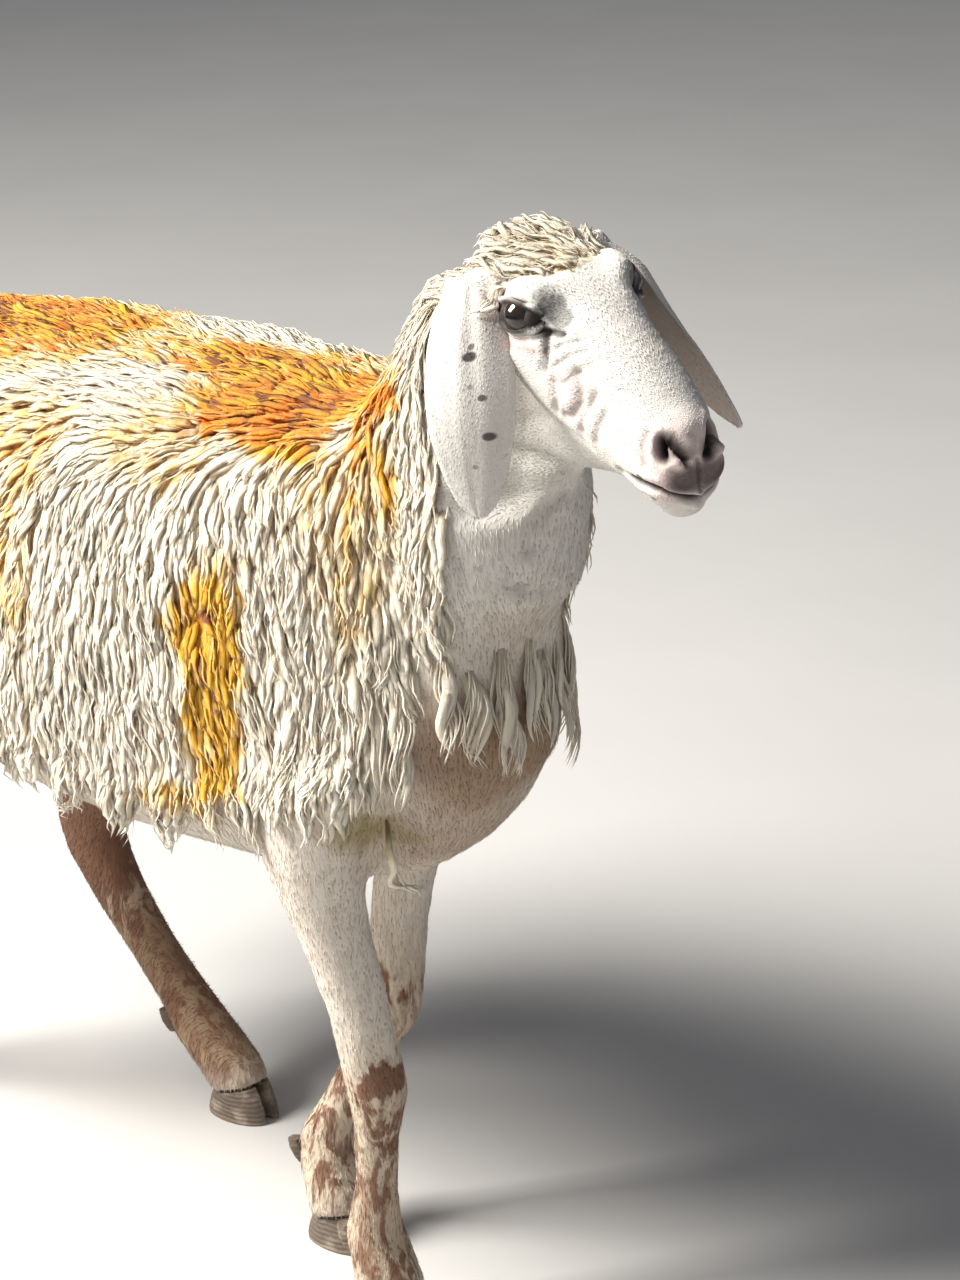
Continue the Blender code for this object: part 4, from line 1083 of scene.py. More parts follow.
def build_fleece(skin, settings):
    """All the wool: one piece for each region of the body, and the bundles of the bib."""
    rng = np.random.default_rng(settings.seed)
    points = read_points(skin.data)
    normals = read_normals(skin.data)
    ears = read_attribute(skin.data, "ear")
    tree = BVHTree.FromObject(skin, bpy.context.evaluated_depsgraph_get())
    under = {"per_lock": 3, "steps": 5, "sector": 4, "flat": 0.24, "width": 0.0072,
             "spread": 0.0068, "rise": 0.0008, "disorder": 0.7, "curl": 0.7, "trim": 0.80,
             "profile": LEAF_PROFILE, "body": EVEN}
    over = {"per_lock": settings.strands, "steps": 7, "sector": 3, "flat": 0.8,
            "width": settings.strand_width, "spread": 0.0078, "rise": 0.0010, "disorder": 0.9,
            "curl": 1.0, "trim": 0.70, "profile": STRAND_PROFILE, "body": EVEN}
    head = head_places(points)
    ear_gap = np.linalg.norm(np.abs(head) - np.abs(EAR_ROOT), axis=1)
    weights = np.clip(wool_mask(points, normals) - 0.25, 0, 1) / 0.75
    weights *= (ears < 0.5) & (ear_gap > 0.020)
    poll = (head[:, 0] > POLL_BACK) & (head[:, 2] > POLL_BOTTOM)
    facing, locks = plant(skin, tree, weights * ~poll, settings.lock_spacing, wool_character,
                          FLEECE_JITTER, rng)
    region = fleece_region(locks[0], facing)
    made = []
    for number, name in enumerate(REGIONS):
        own = [values[region == number] for values in locks]
        made.append(coat_piece("fleece_" + name, own, (under, over), rng))

    fine = dict(over, per_lock=4, width=0.0016, spread=0.0045, rise=0.0012)
    _, locks = plant(skin, tree, weights * poll, 0.75 * settings.lock_spacing, wool_character,
                     POLL_JITTER, rng, forehead_share)
    made.append(coat_piece("fleece_poll", locks, (dict(under, per_lock=2, width=0.0058), fine),
                           rng))

    leaf = dict(under, per_lock=3, steps=10, width=0.0095, spread=0.0058, curl=1.5, flat=0.40,
                trim=0.82, disorder=0.35, profile=SPINDLE, body=SPINDLE)
    hair = dict(over, per_lock=11, steps=11, spread=0.0088, width=0.0021, rise=0.0046,
                disorder=0.55, trim=0.78, curl=1.6, body=SPINDLE)
    front = ramp(normals @ unit(np.array(BREAST_FRONT)), 0.20, 0.40) * (points[:, 0] > 0.20)
    band = ramp(points[:, 2], 0.556, 0.562) * (1 - ramp(points[:, 2], 0.582, 0.590))
    _, (roots, guides, tops, length, curl, gather) = plant(
        skin, tree, front * band * (ears < 0.5), settings.bundle_spacing, bib_character,
        BIB_JITTER, rng)
    bib = coat_piece("fleece_bib", (roots, guides, tops, BIB_WAVES * length, curl, gather),
                     (leaf, hair), rng)
    shares = np.linspace(0, 1, GUIDE_STEPS + 1)
    lines = []
    for path in HANGING_LOCKS:
        path = np.array(path)
        steps = np.linspace(0, 1, len(path))
        lines.append(np.stack([np.interp(shares, steps, path[:, k]) for k in range(3)], 1))
    lines = np.array(lines)
    count = len(lines)
    facing = np.tile(unit(np.array((0.7, -0.7, 0.1))), (count, GUIDE_STEPS + 1, 1))
    twist = dict(hair, per_lock=7, spread=0.0028, width=0.0030, rise=0.0008, trim=0.9)
    core = dict(leaf, per_lock=1, width=0.0062, flat=0.8, trim=0.95, profile=LEAF_PROFILE)
    loose = (lines[:, 0], lines, facing, np.full(count, 0.06), np.full(count, 0.0016),
             np.full(count, 0.5))
    loose = coat_piece("fleece_hanging", loose, (core, twist), rng)
    made.append(joined("fleece_bib", (bib, loose)))
    return made


def joined(name, things):
    """Several objects joined into the first."""
    bpy.ops.object.select_all(action="DESELECT")
    for thing in things:
        thing.select_set(True)
    bpy.context.view_layer.objects.active = things[0]
    bpy.ops.object.join()
    things[0].name = name
    things[0].data.name = name
    return things[0]


# ---- node trees ----------------------------------------------------------------------------
class Sketch:
    """Short words for making a node tree."""

    def __init__(self, tree):
        self.tree = tree

    def sockets(self, side, **kinds):
        """The tree's own sockets: their names and kinds."""
        for name, kind in kinds.items():
            self.tree.interface.new_socket(name, in_out=side, socket_type="NodeSocket" + kind)

    def node(self, kind, inputs=None, **settings):
        made = self.tree.nodes.new(kind)
        for key, value in settings.items():
            setattr(made, key, value)
        for key, value in (inputs or {}).items():
            self.feed(made.inputs[key], value)
        return made

    def feed(self, socket, value):
        if isinstance(value, bpy.types.NodeSocket):
            self.tree.links.new(value, socket)
        elif socket.type == "RGBA" and len(value) == 3:
            socket.default_value = (*value, 1.0)
        else:
            socket.default_value = value

    def maths(self, operation, *values):
        return self.node("ShaderNodeMath", dict(enumerate(values)), operation=operation).outputs[0]

    def times(self, first, second):
        return self.maths("MULTIPLY", first, second)

    def vectors(self, operation, first, second=None):
        made = self.node("ShaderNodeVectorMath", {0: first}, operation=operation)
        if second is not None:
            self.feed(made.inputs["Scale" if operation == "SCALE" else 1], second)
        return made.outputs["Value" if operation in ("LENGTH", "DOT_PRODUCT") else "Vector"]

    def parts(self, vector):
        return self.node("ShaderNodeSeparateXYZ", {0: vector}).outputs

    def whole(self, *values):
        return self.node("ShaderNodeCombineXYZ", dict(enumerate(values))).outputs[0]

    # in Geometry Nodes

    def named(self, name, kind="FLOAT"):
        """Values that the mesh carries."""
        made = self.node("GeometryNodeInputNamedAttribute", {"Name": name}, data_type=kind)
        return made.outputs["Attribute"]

    def store(self, geometry, name, value, kind, domain):
        """The geometry with values written on it."""
        inputs = {"Geometry": geometry, "Name": name, "Value": value}
        made = self.node("GeometryNodeStoreNamedAttribute", inputs, data_type=kind, domain=domain)
        return made.outputs["Geometry"]

    def random(self, low, high, seed):
        made = self.node("FunctionNodeRandomValue", {"Seed": seed}, data_type="FLOAT")
        for socket, limit in zip([s for s in made.inputs if s.type == "VALUE"], (low, high)):
            socket.default_value = limit
        return [s for s in made.outputs if s.type == "VALUE"][0]

    # in materials

    def mix(self, share, first, second, blend="MIX"):
        inputs = {0: share, 6: first, 7: second}
        return self.node("ShaderNodeMix", inputs, data_type="RGBA", blend_type=blend).outputs[2]

    def tint(self, colour, by):
        return self.mix(1.0, colour, by, "MULTIPLY")

    def span(self, value, low, high, to_low=0.0, to_high=1.0):
        inputs = dict(enumerate((value, low, high, to_low, to_high)))
        return self.node("ShaderNodeMapRange", inputs, interpolation_type="SMOOTHSTEP").outputs[0]

    def noise(self, place, scale, detail=2.0, roughness=0.5, distortion=0.0, colour=False):
        inputs = {"Vector": place, "Scale": scale, "Detail": detail, "Roughness": roughness,
                  "Distortion": distortion}
        return self.node("ShaderNodeTexNoise", inputs).outputs[1 if colour else 0]

    def drift(self, place, scale, detail, roughness, reach):
        """A smooth random shift for each place."""
        cloud = self.noise(place, scale, detail, roughness, colour=True)
        return self.vectors("SCALE", self.vectors("SUBTRACT", cloud, (0.5,) * 3), reach)

    def drawn_out(self, place, share):
        """Places for a noise that is stretched along the height."""
        return self.vectors("MULTIPLY", place, (1.0, 1.0, share))

    def spots(self, place, rows, soft=0.45):
        """The strongest of several soft ellipsoids: centre and radii in mm, and strength."""
        total = 0.0
        for *measures, strength in rows:
            away = self.vectors("SUBTRACT", place, metres(measures[:3]))
            away = self.vectors("DIVIDE", away, metres(measures[3:]))
            inside = self.span(self.vectors("LENGTH", away), 1 - soft, 1 + soft, 1.0, 0.0)
            total = self.maths("MAXIMUM", self.times(inside, strength), total)
        return total

    def attribute(self, name):
        return self.node("ShaderNodeAttribute", attribute_name=name).outputs["Fac"]

    def place(self):
        return self.node("ShaderNodeTexCoord").outputs["Object"]

    def bump(self, shader, height, strength, distance):
        inputs = {"Height": height, "Strength": strength, "Distance": distance}
        self.feed(shader.inputs["Normal"], self.node("ShaderNodeBump", inputs).outputs[0])


# ---- the short coat, by Geometry Nodes -----------------------------------------------------
FACE_TUFTS = {"Density": 420000.0, "Tilt": 0.015, "Sway": 0.04}     # tufts to the square metre
LEG_TUFTS = {"Density": 100000.0, "Tilt": 0.05, "Sway": 0.13}
MIDDLE_OF_BELLY = 0.035       # the front pieces of hair meet the rear ones here
TUFT_FLATNESS = 0.55
LENGTH_SPREAD = (0.65, 1.35)
WIDTH_SPREAD = (0.7, 1.3)


def short_coat_tree():
    """Small tapered tufts on the faces of a skin, lying along its `lie`, as one plain mesh."""
    tree = bpy.data.node_groups.new("short_coat", "GeometryNodeTree")
    draw = Sketch(tree)
    draw.sockets("INPUT", Geometry="Geometry", Density="Float", Length="Float", Width="Float",
                 Tilt="Float", Sway="Float", Seed="Int", Finish="Material")
    draw.sockets("OUTPUT", Geometry="Geometry")
    given = draw.node("NodeGroupInput").outputs

    def seed(number):
        return draw.maths("ADD", given["Seed"], number)

    roots = draw.node("GeometryNodeDistributePointsOnFaces", {
        "Mesh": given["Geometry"], "Seed": given["Seed"],
        "Density": draw.times(given["Density"], draw.named("hair_density"))}).outputs
    cone = draw.node("GeometryNodeMeshCone", {
        "Vertices": 3, "Side Segments": 1, "Radius Top": 0.0, "Radius Bottom": 1.0,
        "Depth": 1.0}, fill_type="NGON").outputs
    height = draw.parts(draw.node("GeometryNodeInputPosition").outputs[0])["Z"]
    tuft = draw.store(cone["Mesh"], "OFBake", cone["UV Map"], "FLOAT2", "CORNER")
    tuft = draw.store(tuft, "along", height, "FLOAT", "POINT")

    # each tuft points along the lie of the hair, with some sway, its flat side to the skin
    sway = draw.node("FunctionNodeRandomValue", {0: (-1.0,) * 3, 1: (1.0,) * 3},
                     data_type="FLOAT_VECTOR").outputs[0]
    sway = draw.vectors("SCALE", sway, given["Sway"])
    heading = draw.vectors("ADD", draw.named("lie", "FLOAT_VECTOR"), sway)
    tilt = draw.vectors("SCALE", roots["Normal"], given["Tilt"])
    heading = draw.vectors("ADD", heading, tilt)
    turn = draw.node("FunctionNodeAlignRotationToVector", {"Vector": heading}, axis="Z")
    turn = draw.node("FunctionNodeAlignRotationToVector", {
        "Rotation": turn.outputs[0], "Vector": roots["Normal"]}, axis="X", pivot_axis="Z")

    long = draw.times(given["Length"], draw.named("hair_length"))
    long = draw.times(long, draw.random(*LENGTH_SPREAD, seed(1)))
    wide = draw.times(given["Width"], draw.random(*WIDTH_SPREAD, seed(2)))
    size = draw.whole(draw.times(wide, TUFT_FLATNESS), wide, long)
    placed = draw.node("GeometryNodeInstanceOnPoints", {
        "Points": roots["Points"], "Instance": tuft, "Rotation": turn.outputs[0],
        "Scale": size}).outputs[0]
    placed = draw.store(placed, "tone", draw.random(0.0, 1.0, seed(3)), "FLOAT", "INSTANCE")
    real = draw.node("GeometryNodeRealizeInstances", {0: placed}).outputs[0]
    own = draw.vectors("SCALE", draw.named("OFBake", "FLOAT_VECTOR"), PATCH)
    root = draw.whole(draw.named("place_u"), draw.named("place_v"))
    real = draw.store(real, "OFBake", draw.vectors("ADD", root, own), "FLOAT2", "CORNER")
    real = draw.node("GeometryNodeSetMaterial", {"Geometry": real, "Material": given["Finish"]})
    draw.node("NodeGroupOutput", {"Geometry": real.outputs["Geometry"]})
    return tree


def part_of_skin(skin, name, chosen):
    """A copy of the faces of the skin most of whose points are chosen."""
    made = skin.copy()
    made.data = skin.data.copy()
    made.name = name
    bpy.context.scene.collection.objects.link(made)
    shape = bmesh.new()
    shape.from_mesh(made.data)
    shape.faces.ensure_lookup_table()
    inside = chosen.tolist()
    drop = [face for face in shape.faces
            if 2 * sum(inside[vert.index] for vert in face.verts) < len(face.verts)]
    bmesh.ops.delete(shape, geom=drop, context="FACES")
    shape.to_mesh(made.data)
    shape.free()
    return made


def grow_short_coat(skin, name, chosen, tree, finish, values, seed):
    """One piece of short hair over the chosen part of the skin."""
    patch = part_of_skin(skin, name, chosen)
    modifier = patch.modifiers.new("Short coat", "NODES")
    modifier.node_group = tree
    names = {item.name: item.identifier for item in tree.interface.items_tree
             if item.in_out == "INPUT"}
    for key, value in values.items():
        modifier[names[key]] = value
    modifier[names["Seed"]] = seed
    modifier[names["Finish"]] = finish
    settle(patch)
    for spare in ("lie", "hair_length", "hair_density", "place_u", "place_v", "ear"):
        found = patch.data.attributes.get(spare)
        if found:
            patch.data.attributes.remove(found)
    patch.data.shade_smooth()
    patch.data.name = name
    return patch


# ---- materials -----------------------------------------------------------------------------
# soft spots of colour, each with its centre and its three radii in millimetres and its strength

# dye on the fleece
DYE_SPOTS = (
    (-300, -15, 745, 215, 88, 60, 1.05), (-120, -10, 757, 75, 62, 30, 0.85),
    (-30, -20, 758, 60, 45, 28, 0.42), (85, -15, 760, 72, 45, 28, 0.95),
    (122, -70, 748, 48, 40, 40, 1.05), (165, -45, 757, 52, 48, 35, 1),
    (170, -85, 741, 42, 26, 30, 0.85), (205, -20, 758, 45, 45, 30, 0.8),
    (255, -70, 762, 26, 34, 40, 0.62), (266, -82, 715, 22, 30, 45, 0.48),
    (235, -88, 700, 45, 40, 55, 0.3), (160, -154, 600, 25, 60, 40, 0.95),
    (162, -156, 545, 23, 60, 55, 1.05), (166, -155, 495, 19, 60, 28, 0.7),
    (118, -140, 455, 40, 50, 18, 0.35), (140, 30, 763, 60, 50, 30, 0.45),
    (262, -100, 640, 26, 35, 60, 0.26), (85, -120, 725, 60, 45, 40, 0.3),
    (-40, -150, 700, 40, 60, 50, 0.34), (-30, -180, 620, 30, 50, 70, 0.3),
    (-250, -150, 640, 120, 80, 100, 0.4), (-180, 120, 700, 140, 80, 60, 0.5),
    (130, 120, 690, 80, 60, 70, 0.45), (-430, 0, 640, 60, 110, 90, 0.5),
)
GRIME_SPOTS = (
    (10, -165, 675, 30, 40, 22, 0.45), (62, -172, 645, 24, 40, 16, 0.7),
    (38, -176, 655, 16, 40, 10, 0.65), (52, -186, 548, 20, 40, 30, 0.6),
    (0, -190, 520, 40, 50, 35, 0.4), (-120, -190, 560, 90, 50, 50, 0.45),
    (-460, 0, 520, 60, 130, 80, 0.6), (100, 170, 560, 110, 50, 70, 0.45),
    (-200, 180, 560, 120, 50, 70, 0.5),
)
# dark brown on the legs, and tan on the legs and belly; on the breast and throat the tan is partly
# painted shade under the bib
BROWN_SPOTS = (
    (-300, 100, 290, 100, 110, 140, 1), (-350, -110, 345, 120, 110, 120, 1),
    (-285, 90, 200, 40, 50, 50, 0.95), (-420, -100, 220, 60, 60, 60, 0.9),
    (-250, 100, 165, 26, 40, 30, 0.6), (246, -73, 232, 26, 36, 18, 1),
    (230, -90, 200, 16, 20, 26, 0.7), (225, -60, 175, 12, 30, 34, 0.65),
    (109, 55, 225, 30, 36, 24, 0.8), (83, 11, 150, 16, 30, 40, 0.6),
    (85, 60, 150, 30, 30, 40, 0.5), (-160, 85, 46, 30, 40, 16, 0.9),
    (-190, 90, 85, 30, 50, 30, 0.7), (-370, -90, 46, 40, 40, 16, 0.8),
)
TAN_AND_SHADE_SPOTS = (
    (-225, 90, 120, 70, 60, 60, 0.95), (-170, 85, 75, 50, 50, 40, 0.9),
    (-400, -95, 120, 70, 60, 80, 0.9), (-200, 0, 400, 180, 180, 50, 0.5),
    # from the spot 320 mm along onwards: breast and throat, their tan partly painted shade behind
    # and under the bib
    (215, -60, 100, 30, 30, 50, 0.35), (320, -20, 500, 60, 95, 55, 0.9),
    (290, -30, 430, 60, 80, 40, 0.6), (358, -20, 625, 40, 50, 45, 0.45),
)
STAIN_SPOTS = (
    (256, -93, 443, 20, 30, 16, 0.85), (268, -80, 436, 10, 30, 10, 0.6),
)
EAR_SPOTS = (
    (374, -86, 815, 3.6, 20, 3.2, 1), (373, -86, 821, 1.8, 20, 2.2, 0.8),
    (385, -86, 789, 2.4, 20, 2.2, 0.9), (378, -86, 796, 1.6, 20, 1.6, 0.5),
    (389, -85, 763, 3.2, 20, 2.9, 0.95), (381, -85, 742, 1.6, 20, 1.6, 0.5),
)
# painted shade and tint on the face, in the head's frame, the same on both sides
# the brow: grey hair, darkened with painted shade in the hollow above and in front of the eye
BROW_SHADE_SPOTS = (
    (46, 45, 4, 18, 14, 8, 0.36), (66, 38, 8, 15, 14, 8, 0.42), (80, 34, 8, 9, 16, 9, 0.6),
    (87, 34, 1, 10, 16, 10, 0.9), (95, 34, -6, 11, 16, 9, 1),
)
# the nose's dark skin, with painted shade on the upper lip and the front of the nose
NOSE_SKIN_AND_SHADE_SPOTS = (
    (226, 10, -90, 12, 27, 11, 0.92), (219, 21, -64, 9, 10, 9, 0.75), (228, 8, -70, 8, 8, 8, 0.6),
)
PINK_SPOTS = (
    (219, 20, -78, 26, 30, 34, 0.7), (70, 50, -31, 26, 14, 6, 0.7), (40, 52, -30, 18, 20, 30, 0.5),
    (126, 40, -60, 26, 20, 20, 0.45),
)
CHIN_SPOTS = (
    (197, 32, -93, 4.2, 10, 3, 0.9), (209, 29, -95.5, 3, 10, 2.2, 0.8),
    (190, 33, -108, 2, 10, 2, 0.6), (203, 29, -110, 2.2, 10, 2, 0.6),
)
NECK_SPOTS = (
    (317, -74, 777, 9, 20, 5, 0.95), (311, -74, 783, 5, 20, 4, 0.6),
)

CREAM = (0.860, 0.765, 0.610)
PALE_YELLOW = (0.800, 0.530, 0.205)
ORANGE = (0.810, 0.215, 0.011)
GOLD = (0.800, 0.385, 0.022)
BURNT = (0.260, 0.080, 0.014)
GRIME = (0.300, 0.265, 0.215)
WHITE_HAIR = (0.750, 0.735, 0.700)
WARM_HAIR = (0.780, 0.720, 0.640)
LEG_CREAM = (0.640, 0.540, 0.420)
LEG_BROWN = (0.215, 0.105, 0.060)
TAN_AND_SHADE = (0.330, 0.215, 0.125)
OLIVE = (0.330, 0.265, 0.095)
PINK = (0.760, 0.600, 0.580)
# inner faces of the ears: their own skin, darkened brown-grey with painted shade
INNER_EAR_AND_SHADE = (0.420, 0.350, 0.315)
# dark skin of the lids' rims and the chin, and also the colour of the painted shade in the face's
# lines
DARK_SKIN_AND_SHADE = (0.040, 0.029, 0.027)
GREY_HAIR_AND_BROW_SHADE = (0.285, 0.285, 0.275)
POLL_TAN = (0.700, 0.580, 0.410)
NOSE_SKIN_AND_SHADE = (0.130, 0.092, 0.086)
EAR_SPECK = (0.090, 0.075, 0.075)
NECK_SPECK = (0.090, 0.075, 0.070)
PLAIN = (1.0, 1.0, 1.0)


def markings_group():
    """The animal's colours by place, for skin and coat alike, with painted shade on the face, ears
    and breast.
    """
    group = bpy.data.node_groups.new("coat_markings", "ShaderNodeTree")
    draw = Sketch(group)
    draw.sockets("INPUT", Place="Vector", Wool="Float", Face="Float", Tone="Float", Dark="Float",
                 Inner="Float")
    draw.sockets("OUTPUT", Colour="Color")
    given = draw.node("NodeGroupInput").outputs
    place = given["Place"]
    tone = given["Tone"]
    warped = draw.vectors("ADD", place, draw.drift(place, 14.0, 3.0, 0.6, 0.060))
    warped = draw.vectors("ADD", warped, draw.drift(place, 60.0, 2.0, 0.6, 0.026))

    # dye on the wool: strand by strand it takes more or less
    dye = draw.spots(warped, DYE_SPOTS, 0.72)
    uneven = draw.times(draw.maths("SUBTRACT", tone, 0.45), 0.75)
    dye = draw.times(dye, draw.maths("ADD", 1.0, uneven))
    runs = draw.noise(draw.drawn_out(place, 0.35), 70.0, 2.0, 0.6)
    dye = draw.times(dye, draw.span(runs, 0.30, 0.70, 0.55, 1.30))
    colour = draw.mix(draw.span(dye, 0.02, 0.40), CREAM, PALE_YELLOW)
    ripe = draw.mix(draw.span(draw.noise(place, 24.0, 2.0), 0.40, 0.62), ORANGE, GOLD)
    x, _, height = draw.parts(place)
    ripe = draw.mix(draw.span(height, 0.66, 0.71), GOLD, ripe)
    colour = draw.mix(draw.span(dye, 0.26, 0.58), colour, ripe)
    ridge = draw.span(height, 0.70, 0.75, 1.0, 1.22)
    colour = draw.mix(draw.span(draw.times(dye, ridge), 1.16, 1.36), colour, BURNT)
    patch = draw.noise(place, 11.0, 3.0, 0.6)
    grime = draw.maths("MAXIMUM", draw.spots(warped, GRIME_SPOTS, 0.5),
                       draw.span(patch, 0.56, 0.80, 0.0, 0.20))
    grime = draw.times(grime, draw.span(tone, 0.0, 0.9, 1.0, 0.30))
    colour = draw.mix(grime, colour, GRIME)

    # legs, belly, throat and breast
    streak = draw.noise(draw.drawn_out(place, 0.30), 95.0, 3.0, 0.65, 0.6)
    low = draw.span(height, 0.13, 0.27, 1.0, 0.12)
    low = draw.times(low, draw.span(x, 0.0, 0.06, 0.7, 1.0))
    mottle = draw.times(draw.span(streak, 0.43, 0.58, 0.0, 0.95), low)
    tan = draw.spots(warped, TAN_AND_SHADE_SPOTS, 0.5)
    leg = draw.mix(draw.span(height, 0.20, 0.30), LEG_CREAM, WARM_HAIR)
    # tan of the legs and belly; on the breast and throat, partly painted shade under the bib
    leg = draw.mix(tan, leg, TAN_AND_SHADE)
    leg = draw.mix(draw.span(height, 0.56, 0.66), leg, WHITE_HAIR)
    ragged = draw.maths("ADD", draw.spots(warped, BROWN_SPOTS, 0.5),
                        draw.span(streak, 0.35, 0.65, -0.35, 0.25))
    brown = draw.maths("MAXIMUM", draw.span(ragged, 0.25, 0.75), mottle)
    leg = draw.mix(brown, leg, LEG_BROWN)
    stain = draw.spots(warped, STAIN_SPOTS, 0.6)
    leg = draw.mix(stain, leg, OLIVE)
    colour = draw.mix(stain, colour, OLIVE)
    leg = draw.mix(draw.span(height, 0.030, 0.060, 0.35, 0.0), leg, WARM_HAIR)

    # face and ears, in the head's frame, the same on both sides
    seat = draw.node("ShaderNodeMapping", {
        "Vector": place, "Location": HEAD_ORIGIN, "Scale": (HEAD_SCALE,) * 3,
        "Rotation": [math.radians(angle) for angle in HEAD_TURN]}, vector_type="TEXTURE")
    ahead, aside, above = draw.parts(seat.outputs[0])
    head = draw.whole(ahead, draw.maths("ABSOLUTE", aside), above)
    loose = draw.vectors("ADD", head, draw.drift(place, 70.0, 2.0, 0.5, 0.006))
    face = draw.mix(draw.span(draw.noise(place, 30.0, 3.0), 0.45, 0.75, 0.0, 0.30),
                    WHITE_HAIR, WARM_HAIR)
    face = draw.mix(draw.spots(loose, PINK_SPOTS, 0.5), face, PINK)
    # grey hair of the brow, with painted shade in its hollow
    face = draw.mix(draw.span(draw.spots(loose, BROW_SHADE_SPOTS, 0.4), 0.22, 0.85), face, GREY_HAIR_AND_BROW_SHADE)
    # dark nose skin, darkened further with painted shade on the upper lip and the nose's front
    face = draw.mix(draw.spots(loose, NOSE_SKIN_AND_SHADE_SPOTS, 0.5), face, NOSE_SKIN_AND_SHADE)
    face = draw.mix(draw.spots(head, CHIN_SPOTS, 0.35), face, DARK_SKIN_AND_SHADE)
    # the ears' inner faces, partly painted shade
    face = draw.mix(draw.times(given["Inner"], 0.85), face, INNER_EAR_AND_SHADE)
    face = draw.mix(draw.spots(place, EAR_SPOTS, 0.30), face, EAR_SPECK)
    colour = draw.mix(draw.spots(place, NECK_SPOTS, 0.35), colour, NECK_SPECK)
    crown = draw.span(ahead, -0.03, 0.03)
    crown = draw.times(crown, draw.span(draw.noise(place, 26.0), 0.40, 0.62, 0.2, 0.9))
    crown = draw.times(crown, draw.span(above, -0.03, 0.005))
    colour = draw.mix(draw.times(crown, 0.75), colour, POLL_TAN)
    chosen = draw.mix(given["Wool"], leg, colour)
    chosen = draw.mix(given["Face"], chosen, face)
    # painted shade in the face's lines, and the dark bare rims of the lids
    chosen = draw.mix(given["Dark"], chosen, DARK_SKIN_AND_SHADE)
    draw.node("NodeGroupOutput", {"Colour": chosen})
    return group


def new_material(name, roughness, **constants):
    """A Principled material, its shader and a sketch for its nodes."""
    made = bpy.data.materials.new(name)
    made.use_nodes = True
    shader = made.node_tree.nodes["Principled BSDF"]
    shader.inputs["Roughness"].default_value = roughness
    for key, value in constants.items():
        shader.inputs[key.replace("_", " ").title()].default_value = value
    return made, shader, Sketch(made.node_tree)


def marked_colour(draw, group, wool, face, tone, dark=0.0, inner=0.0):
    """The markings at this place, and the place itself."""
    place = draw.place()
    marks = draw.node("ShaderNodeGroup", node_tree=group)
    for name, value in (("Place", place), ("Wool", wool), ("Face", face), ("Tone", tone),
                        ("Dark", dark), ("Inner", inner)):
        draw.feed(marks.inputs[name], value)
    return place, marks.outputs["Colour"]


def skin_colour(draw, group, tone):
    """The markings as the masks on the skin and on its short hair choose them."""
    masks = (draw.attribute(name) for name in ("wool", "face", "dark", "inner_ear"))
    wool, face, dark, inner = masks
    return wool, *marked_colour(draw, group, wool, face, tone, dark, inner)


def wool_material(group):
    """Matt, slightly sheeny wool, darkened at the root with painted shade between the locks,
    lighter to the tip.
    """
    made, shader, draw = new_material("wool", 0.92, sheen_weight=0.08, sheen_roughness=0.5,
                                      subsurface_weight=0.5, subsurface_scale=0.007,
                                      subsurface_radius=(1.0, 0.92, 0.82))
    tone = draw.attribute("tone")
    place, colour = marked_colour(draw, group, 1.0, 0.0, tone)
    # painted shade down among the locks, darkest at the root
    root = draw.tint(colour, (0.97, 0.92, 0.84))
    colour = draw.mix(draw.span(draw.attribute("along"), 0.0, 0.42), root, colour)
    colour = draw.tint(colour, draw.mix(tone, (0.93, 0.905, 0.87), PLAIN))
    draw.feed(shader.inputs["Base Color"], colour)
    draw.feed(shader.inputs["Roughness"], draw.span(tone, 0.0, 1.0, 0.98, 0.82))
    fibre = draw.noise(draw.drawn_out(place, 0.30), 520.0, 3.0, 0.6, 0.5)
    draw.bump(shader, fibre, 0.9, 0.0014)
    return made


def short_hair_material(group):
    """Short hair of the face, ears, belly and legs."""
    made, shader, draw = new_material("short_hair", 0.85, sheen_weight=0.10)
    tone = draw.attribute("tone")
    _, _, colour = skin_colour(draw, group, tone)
    colour = draw.tint(colour, draw.mix(tone, (0.94, 0.93, 0.92), PLAIN))
    # darker towards the root: painted shade among the hairs
    root = draw.tint(colour, (0.96, 0.94, 0.92))
    colour = draw.mix(draw.span(draw.attribute("along"), 0.0, 0.8), root, colour)
    draw.feed(shader.inputs["Base Color"], colour)
    draw.feed(shader.inputs["Roughness"], draw.span(tone, 0.0, 1.0, 0.92, 0.74))
    return made


def skin_material(group):
    """Skin under the coat: the coat's colours, with pores, and matted wool where wool grows."""
    made, shader, draw = new_material("skin", 0.70)
    wool, place, colour = skin_colour(draw, group, 0.5)
    speck = draw.noise(place, 260.0, 3.0, 0.6)
    colour = draw.tint(colour, draw.mix(speck, (0.84, 0.80, 0.77), PLAIN))
    matted = draw.noise(draw.drawn_out(place, 0.4), 190.0, 3.0, 0.6, 1.2)
    felt = draw.mix(draw.span(matted, 0.35, 0.65), (0.92, 0.86, 0.76), (1.0, 0.98, 0.95))
    draw.feed(shader.inputs["Base Color"], draw.mix(wool, colour, draw.tint(colour, felt)))
    draw.feed(shader.inputs["Roughness"], draw.span(speck, 0.3, 0.7, 0.62, 0.85))
    grain = draw.noise(place, 520.0, 4.0, 0.6, 0.4)
    deep = draw.times(matted, draw.times(wool, 4.0))
    draw.bump(shader, draw.maths("ADD", grain, deep), 0.6, 0.0008)
    return made


